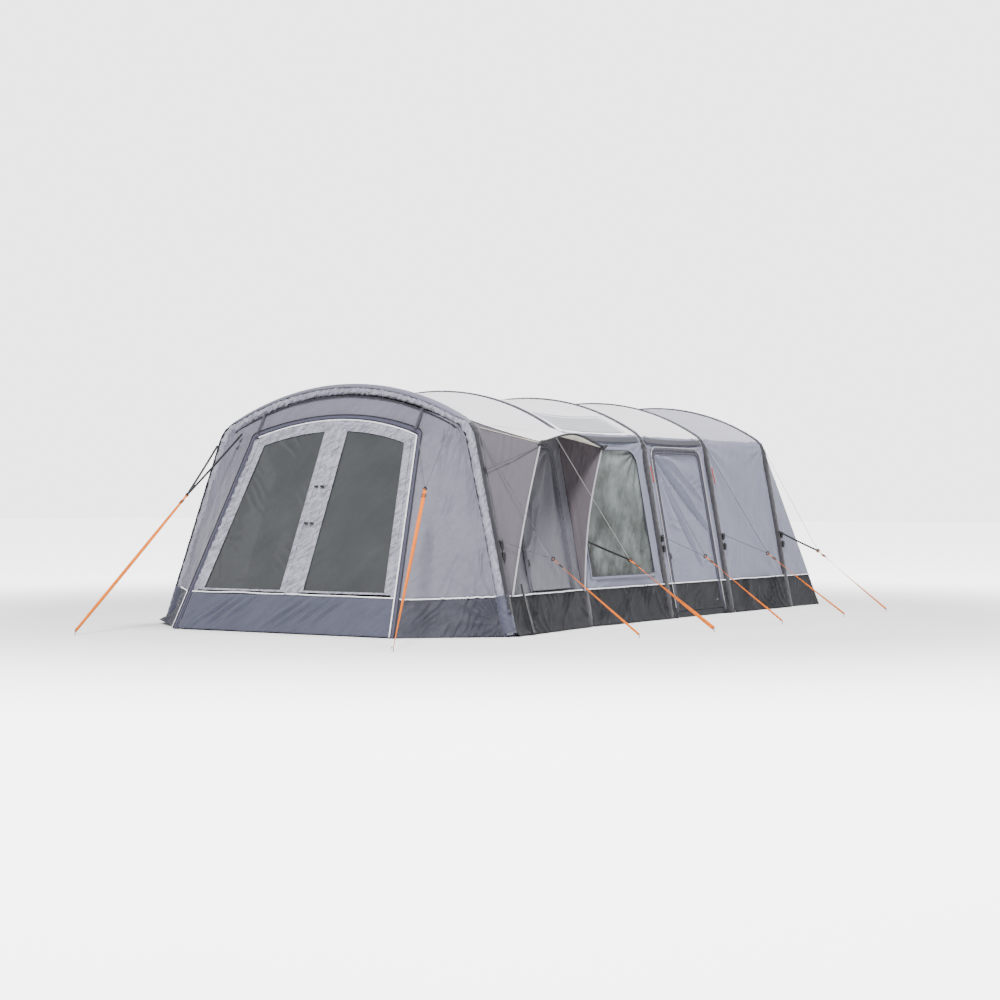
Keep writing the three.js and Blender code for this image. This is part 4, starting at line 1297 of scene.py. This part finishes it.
front_door()
threshold()
for side, label in SIDES:
    front_wing(side, label)
hood()
front_beam_trim()


# ---- porch ----
def porch_wing(name, w_edge, tip, look, bulge, node):
    """A side of the porch, from the beam's leg out to the canopy's corner and up to the roof's edge."""
    u = np.linspace(0, 1, 80)
    skirt_q = LEG_Q * SKIRT_Z / (ARCHES[0].leg_end * ARCHES[0].shoulder_z)
    inner = fly(PORCH_BAY, skirt_q + (CORNER_Q - skirt_q) * u, w_edge) + np.array([0.006, 0.0, -0.002])
    low = inner[0] + np.array([0.026, 0.0, 0.0])
    outer = low + (tip - low) * u[:, None]
    outer[:, 0] -= bulge * np.sin(math.pi * u)
    w = np.linspace(0, 1, 36)
    points = mix(inner[:, None], outer[:, None], w[None, :, None])
    sag = -0.008 * np.sin(math.pi * w)[None, :] * u[:, None] ** 4
    points[..., 2] += sag - 0.004 * u[:, None] ** 8
    a, z = w[None, :] + 0 * u[:, None], points[..., 2]
    h = 0.005 * waves(a, z, 0.5, 181) + slanted(a, z, 84, 0.10, 0.004, 182)
    cloth(name, raise_by(points, h), look, replaces=(node,))
    swept(f"{name}_tape", outer, round_section(0.0075), "tape")


def porch():
    porch_wing("porch_wing_front_cloth", 0.036, RIM_FRONT + [-0.004, 0, -0.012], "porch", 0.02,
               "porch_wing_front")
    porch_wing("porch_wing_rear_cloth", 0.962, RIM_REAR + [-0.004, 0, -0.012], "porch_dark", 0.05,
               "porch_wing_rear")
    rim = rim_curve(40) + np.array([0.006, 0.0, -0.003])
    swept("porch_rim_rod", rim, round_section(0.009, 12), "black", replaces=("porch_rim",))
    w = np.linspace(0.04, 0.96, 40)
    edge = rim_curve(40) - np.array([0.01, 0.0, 0.012])
    back = fly(PORCH_BAY, 0.17, w) + np.array([0.03, 0.0, -0.03])
    t = np.linspace(0, 1, 12)[:, None, None]
    lining = mix(edge[None], back[None], t)
    cloth("porch_lining", lining, "cream")
    for name, tip in (("front", RIM_FRONT), ("rear", RIM_REAR)):
        patch = [tip + [0.012, 0.030, 0.010], tip + [0.016, 0.0, -0.004], tip + [0.008, -0.034, -0.030]]
        path = smooth_path(patch, 12)
        swept(f"porch_corner_patch_{name}", path, flat_section(0.052, 0.010), "black_web")
    z = np.linspace(0.42, 0.004, 30)
    foot = -2.58 + 0.06 * (0.42 - z)
    lift = 0.024 + 0.020 * (1 - z / 0.42) ** 2
    swept("porch_panel_zip", wall(foot, z, 1.0, lift), flat_section(0.026, 0.004), "black_web")
    swept("porch_panel_seam", wall(foot[7:] + 0.030, z[7:], 1.0, lift[7:] + 0.002), round_section(0.003),
          "cord_dark")


porch()


# ---- rear end ----
def rear_end():
    arch = ARCHES[4]
    top_q = CORNER_Q - 0.03
    x, z, back = arch.at(top_q)
    shoulder = np.array([float(x), BEAM_Y[4] + float(back) + 0.045, float(z)])
    corner = np.array([REAR_HALF, REAR_Y, 0.0])
    parts = (("skirt", np.linspace(0, SKIRT_Z, 16)), ("cloth", np.linspace(SKIRT_Z, shoulder[2], 70)))
    for side, label in SIDES:
        for part, heights in parts:
            t = (heights / shoulder[2])[:, None]
            leg_x, leg_z, leg_back = leg_at_height(arch, heights)
            leg = np.column_stack([leg_x, BEAM_Y[4] + leg_back + 0.040, leg_z])
            edge = corner + (shoulder + [0.0, 0.035, 0.0] - corner) * t
            s = np.linspace(0, 1, 34)
            points = mix(leg[:, None], edge[:, None], s[None, :, None])
            points[..., 0] *= side
            a, b = points[..., 1], points[..., 2]
            h = 0.003 * waves(a, b, 0.4, 191) + slanted(a, b, 70, 0.06, 0.005, 192)
            points = above_ground(raise_by(points, h))
            look = "skirt" if part == "skirt" else "wall"
            cloth(f"rear_wing_{label}_{part}", points, look, replaces=("rear_wall",))
            if part == "skirt":
                swept(f"rear_wing_{label}_piping", points[-1] + np.array([side * 0.006, 0.0, 0.0]),
                      round_section(PIPING), "piping")
    q = np.linspace(top_q, 1 - top_q, 130)
    x, z, back = arch.at(q)
    top = np.column_stack([x, BEAM_Y[4] + back + 0.05, z])
    hem = np.column_stack([np.linspace(REAR_HALF, -REAR_HALF, 130), np.full(130, REAR_Y), np.zeros(130)])
    split = 1 - SKIRT_Z / z
    for part, rows, low, high in (("cloth", 80, np.zeros(130), split), ("skirt", 20, split, np.ones(130))):
        t = np.linspace(0, 1, rows)[:, None]
        w = low[None, :] * (1 - t) + high[None, :] * t
        points = top[None] * (1 - w)[..., None] + hem[None] * w[..., None]
        a, b = points[..., 0], points[..., 2]
        h = 0.005 * waves(a, b, 0.6, 195) + slanted(a, b, 60, 0.08, 0.006, 196)
        h = h + slanted(a, b, 120, 0.09, 0.006, 197)
        h = h + fan(a, b, (1.7, 0.2), 0.01, 0.6, 17) + fan(a, b, (-1.7, 0.2), 0.01, 0.6, 17)
        points = above_ground(raise_by(points, h))
        look = "skirt" if part == "skirt" else "wall"
        cloth(f"rear_panel_{part}", points, look, replaces=("rear_wall",))
        if part == "cloth":
            swept("rear_panel_piping", points[-1] + np.array([0.0, 0.007, 0.0]), round_section(PIPING),
                  "piping")


def leg_at_height(arch, heights):
    """The arch's side at given heights, as x, z and lean."""
    q = np.linspace(0, CORNER_Q, 200)
    x, z, _ = arch.at(q)
    return np.interp(heights, z, x), heights, arch.lean * heights / HEIGHT


rear_end()


# ---- inside ----
def groundsheet():
    half, front_half = 1.62, 1.085
    y = np.concatenate([np.linspace(-3.50, -3.03, 12), np.linspace(-3.00, 3.48, 120)])
    width = np.interp(y, [-3.50, -3.03, 3.48], [front_half, half, half])
    s = np.linspace(-1, 1, 60)
    x = width[:, None] * s[None, :]
    z = 0.003 + 0.0012 * (1 + waves(x, y[:, None], 0.5, 201))
    points = np.stack([x, y[:, None] + 0 * x, z], axis=-1)
    points[..., 2] += 0.05 * np.clip(np.abs(s)[None, :] - 0.975, 0, 1) / 0.025
    cloth("groundsheet_cloth", points, "floor_sheet", replaces=("groundsheet",))


def bedroom():
    low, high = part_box("inner_tent")
    arch = Arch(high.x, (high.x - 0.350, 1.590), 0.0, crown=high.z)
    q = np.linspace(0, 1, 120)
    x, z, _ = arch.at(q)
    x, z = x * 0.995, np.maximum(z * 0.995, 0.012)
    rear = high.y - 0.24 * z - 0.01
    w = np.linspace(0, 1, 30)
    y = mix(low.y + 0.012, rear[:, None], w[None, :])
    points = np.stack([x[:, None] + 0 * y, y, z[:, None] + 0 * y], axis=-1)
    points = raise_by(points, -0.010 + 0.006 * waves(y, z[:, None], 0.4, 211))
    cloth("bedroom_cloth", points, "bedroom", replaces=("inner_tent",))
    ends = (("front", lambda v: low.y + 0.012 + 0 * v), ("rear", lambda v: high.y - 0.24 * v - 0.02))
    for name, depth in ends:
        t = np.linspace(0, 1, 40)
        gx, gz = x[:, None] * 0.99, 0.012 + (z[:, None] * 0.99 - 0.012) * t[None, :]
        panel = np.stack([gx + 0 * gz, depth(gz), gz], axis=-1)
        panel[..., 1] += 0.006 * waves(panel[..., 0], gz, 0.4, 215)
        keep = None
        if name == "front":
            cx = (panel[:-1, :-1, 0] + panel[1:, 1:, 0]) / 2
            cz = (panel[:-1, :-1, 2] + panel[1:, 1:, 2]) / 2
            keep = ~((np.abs(cx) < 0.65) & (cz < 1.59) & (cz > 0.145))
        cloth(f"bedroom_{name}_cloth", panel, "bedroom", keep=keep, replaces=("inner_tent",))


groundsheet()
bedroom()


# ---- guy lines ----
def ring(name, place):
    """A round black ring, plump enough to grip the cords."""
    radius = 0.015
    turns = np.linspace(0, 2 * math.pi, 24)
    path = place + radius * np.column_stack([np.cos(turns), 0.5 * np.sin(turns), np.sin(turns)])
    return swept(name, path, round_section(0.006), "black")


def buckle(name, centre, along, body, node):
    """A ladder buckle: a rounded frame with a bar across, threaded on the webbing."""
    level = unit(np.cross([0.0, 0.0, 1.0], along))
    corners = [(-1, -1), (1, -1), (1, 1), (-1, 1), (-1, -1)]
    path = np.array([centre + level * 0.0165 * a + along * 0.019 * b for a, b in corners])
    path = np.vstack([np.linspace(p, r, 6)[:-1] for p, r in zip(path[:-1], path[1:])] + [path[-1:]])
    swept(name, path, round_section(0.0045, 8), "black", body, (node,))
    bar = np.linspace(centre - level * 0.0165, centre + level * 0.0165, 6)
    swept(f"{name}_bar", bar, round_section(0.0035, 8), "black", body)


def peg(name, place):
    """The hooked head of a steel peg, just above the ground."""
    lean = np.array([math.copysign(1.0, place[0]), 0.0, 0.0])
    route = [place + [0, 0, 0.001], place + [0, 0, 0.026], place - lean * 0.006 + [0, 0, 0.036],
             place - lean * 0.018 + [0, 0, 0.034], place - lean * 0.021 + [0, 0, 0.024]]
    return swept(name, smooth_path(route, 20), round_section(0.0035, 8), "steel")


def guy_leg(name, start, end, look, diameter, replaces=(), flat=False):
    """One taut leg of a guy line."""
    path = np.linspace(start, end, 30)
    path[:, 2] -= 0.004 * np.sin(np.linspace(0, math.pi, 30))
    section = flat_section(diameter, 0.0022) if flat else round_section(diameter / 2, 8)
    piece = swept(name, path, section, look, replaces=replaces, twist=math.pi * 0.55 if flat else 0.0)


LEG_WIDTH = {"cord": 0.005, "cord_dark": 0.005, "black_web": 0.020}


def guy(name, side, anchors, ring_at, peg_at, width, looks):
    """Two legs from the tent to a ring, and webbing from the ring down to the peg."""
    flip = np.array([side, 1.0, 1.0])
    junction = flip * ring_at
    label = SIDE_NAME[side]
    node = f"guy_{label}_{name}"
    ring_piece = ring(f"ring_{label}_{name}", junction)
    for index, (anchor, look) in enumerate(zip(anchors, looks)):
        guy_leg(f"{node}_leg_{index + 1}", flip * anchor, junction, look, LEG_WIDTH[look])
    peg_piece = peg(f"peg_{label}_{name}", flip * peg_at)
    top = flip * peg_at + [0, 0, PEG_TOP]
    guy_leg(f"{node}_webbing", junction, top, "orange", width, (node,), flat=True)
    along = unit(top - junction)
    runner = f"runner_{label}_{name}"
    buckle(f"buckle_{label}_{name}", junction + along * 0.090, along, runner, runner)


def all_guys():
    rim = rim_curve(21)[4] + np.array([0.022, 0.0, -0.004])
    for k, (ring_at, peg_at, sides) in enumerate(SIDE_GUYS):
        x, z, back = ARCHES[k].at(0.15)
        high = np.array([float(x) + 0.016, BEAM_Y[k] + float(back), float(z)])
        low = wall(np.array(BEAM_Y[k]), np.array(0.80), 1.0, BEAM_PROUD + 0.006)
        looks = ("cord", "black_web") if k in (1, 4) else ("cord_dark", "cord_dark")
        for side in sides:
            first = rim if (k == 1 and side > 0) else high
            guy(f"{k + 1}", side, [first, low], ring_at, peg_at, 0.034 if k == 1 else 0.018, looks)
    x, z, back = ARCHES[0].at(0.22)
    beam_tab = np.array([float(x), BEAM_Y[0] + float(back) - 0.066, float(z) - 0.02])
    door_tab = on_door(np.array(DOOR_CORNER + 0.03), np.array(DOOR_CORNER_Z - 0.01), 0.016)
    guy("front", 1.0, [beam_tab, door_tab], *RIGHT_FRONT_GUY, 0.030, ("cord_dark", "cord_dark"))
    guy("front", -1.0, LEFT_FRONT_TABS, *LEFT_FRONT_GUY, 0.030, ("black_web", "black_web"))


all_guys()


def porch_struts():
    for name, tip, k, step in (("front", RIM_FRONT, 0, -0.02), ("rear", RIM_REAR, 1, 0.04)):
        start = tip + np.array([-0.012, step, -0.046])
        end = wall(np.array(BEAM_Y[k]), np.array(1.38), 1.0, BEAM_PROUD + 0.008)
        path = np.linspace(start, end, 20)
        swept(f"porch_strut_{name}_cord", path, round_section(0.0035, 8), "cord_dark",
              replaces=(f"porch_strut_{name}",))
        toggle_path = np.linspace(end + [0.004, 0, 0.03], end + [0.008, 0, -0.03], 8)
        swept(f"porch_strut_{name}_toggle", toggle_path, round_section(0.012), "black",
              scale=barrel(0.7, 0.4))


porch_struts()


# ---- small fittings ----
def leg_fittings():
    """Strap buckles and red pull tabs on the sleeves of the beams."""
    for side, label in SIDES:
        for k in (0, 2, 3, 4):
            for index, z in enumerate((0.66, 0.76)):
                at = wall(np.array(BEAM_Y[k] + 0.03), np.array(z), side, 0.026)
                path = np.linspace(at - [0, 0.0, 0.035], at + [0, 0.004, 0.035], 8)
                swept(f"leg_buckle_{label}_{k + 1}_{index + 1}", path, flat_section(0.034, 0.014), "black",
                      scale=barrel(0.8, 0.25))
        for k in (2, 3):
            top = wall(np.array(BEAM_Y[k] + 0.055), np.array(1.46), side, 0.016)
            low = wall(np.array(BEAM_Y[k] + 0.060), np.array(1.30), side, 0.020)
            swept(f"pull_tab_{label}_{k + 1}", np.linspace(top, low, 10), flat_section(0.016, 0.003), "red")


leg_fittings()


# ---- stage ----
def add_floor():
    """A pale floor that brightens away from the tent until it meets the backdrop."""
    size = 90.0
    mesh = bpy.data.meshes.new("floor")
    corners = [(-size, -size, 0.0), (size, -size, 0.0), (size, size, 0.0), (-size, size, 0.0)]
    mesh.from_pydata(corners, [], [(0, 1, 2, 3)])
    g = Graph("pale floor")
    coord = g.node("ShaderNodeTexCoord").outputs["Object"]
    tone = g.noise(coord, 0.4, 2.0)
    g.join(g.ramp(tone, (0.82, 0.82, 0.83, 1.0), (0.86, 0.86, 0.87, 1.0)), g.shader.inputs["Base Color"])
    g.shader.inputs["Roughness"].default_value = 0.9
    far = g.node("ShaderNodeVectorMath", operation="LENGTH")
    g.join(coord, far.inputs[0])
    glow = g.node("ShaderNodeMapRange", interpolation_type="SMOOTHSTEP")
    glow.inputs["From Min"].default_value = 4.0
    glow.inputs["From Max"].default_value = 11.0
    glow.inputs["To Max"].default_value = BACKDROP
    g.join(far.outputs["Value"], glow.inputs["Value"])
    seen = g.node("ShaderNodeMath", operation="MULTIPLY")
    g.join(g.node("ShaderNodeLightPath").outputs["Is Camera Ray"], seen.inputs[0])
    g.join(glow.outputs["Result"], seen.inputs[1])
    g.join(seen.outputs[0], g.shader.inputs["Emission Strength"])
    g.shader.inputs["Emission Color"].default_value = (1.0, 1.0, 1.0, 1.0)
    mesh.materials.append(g.material)
    floor = bpy.data.objects.new("floor", mesh)
    bpy.context.scene.collection.objects.link(floor)
    floor.location.z = -0.001


add_floor()
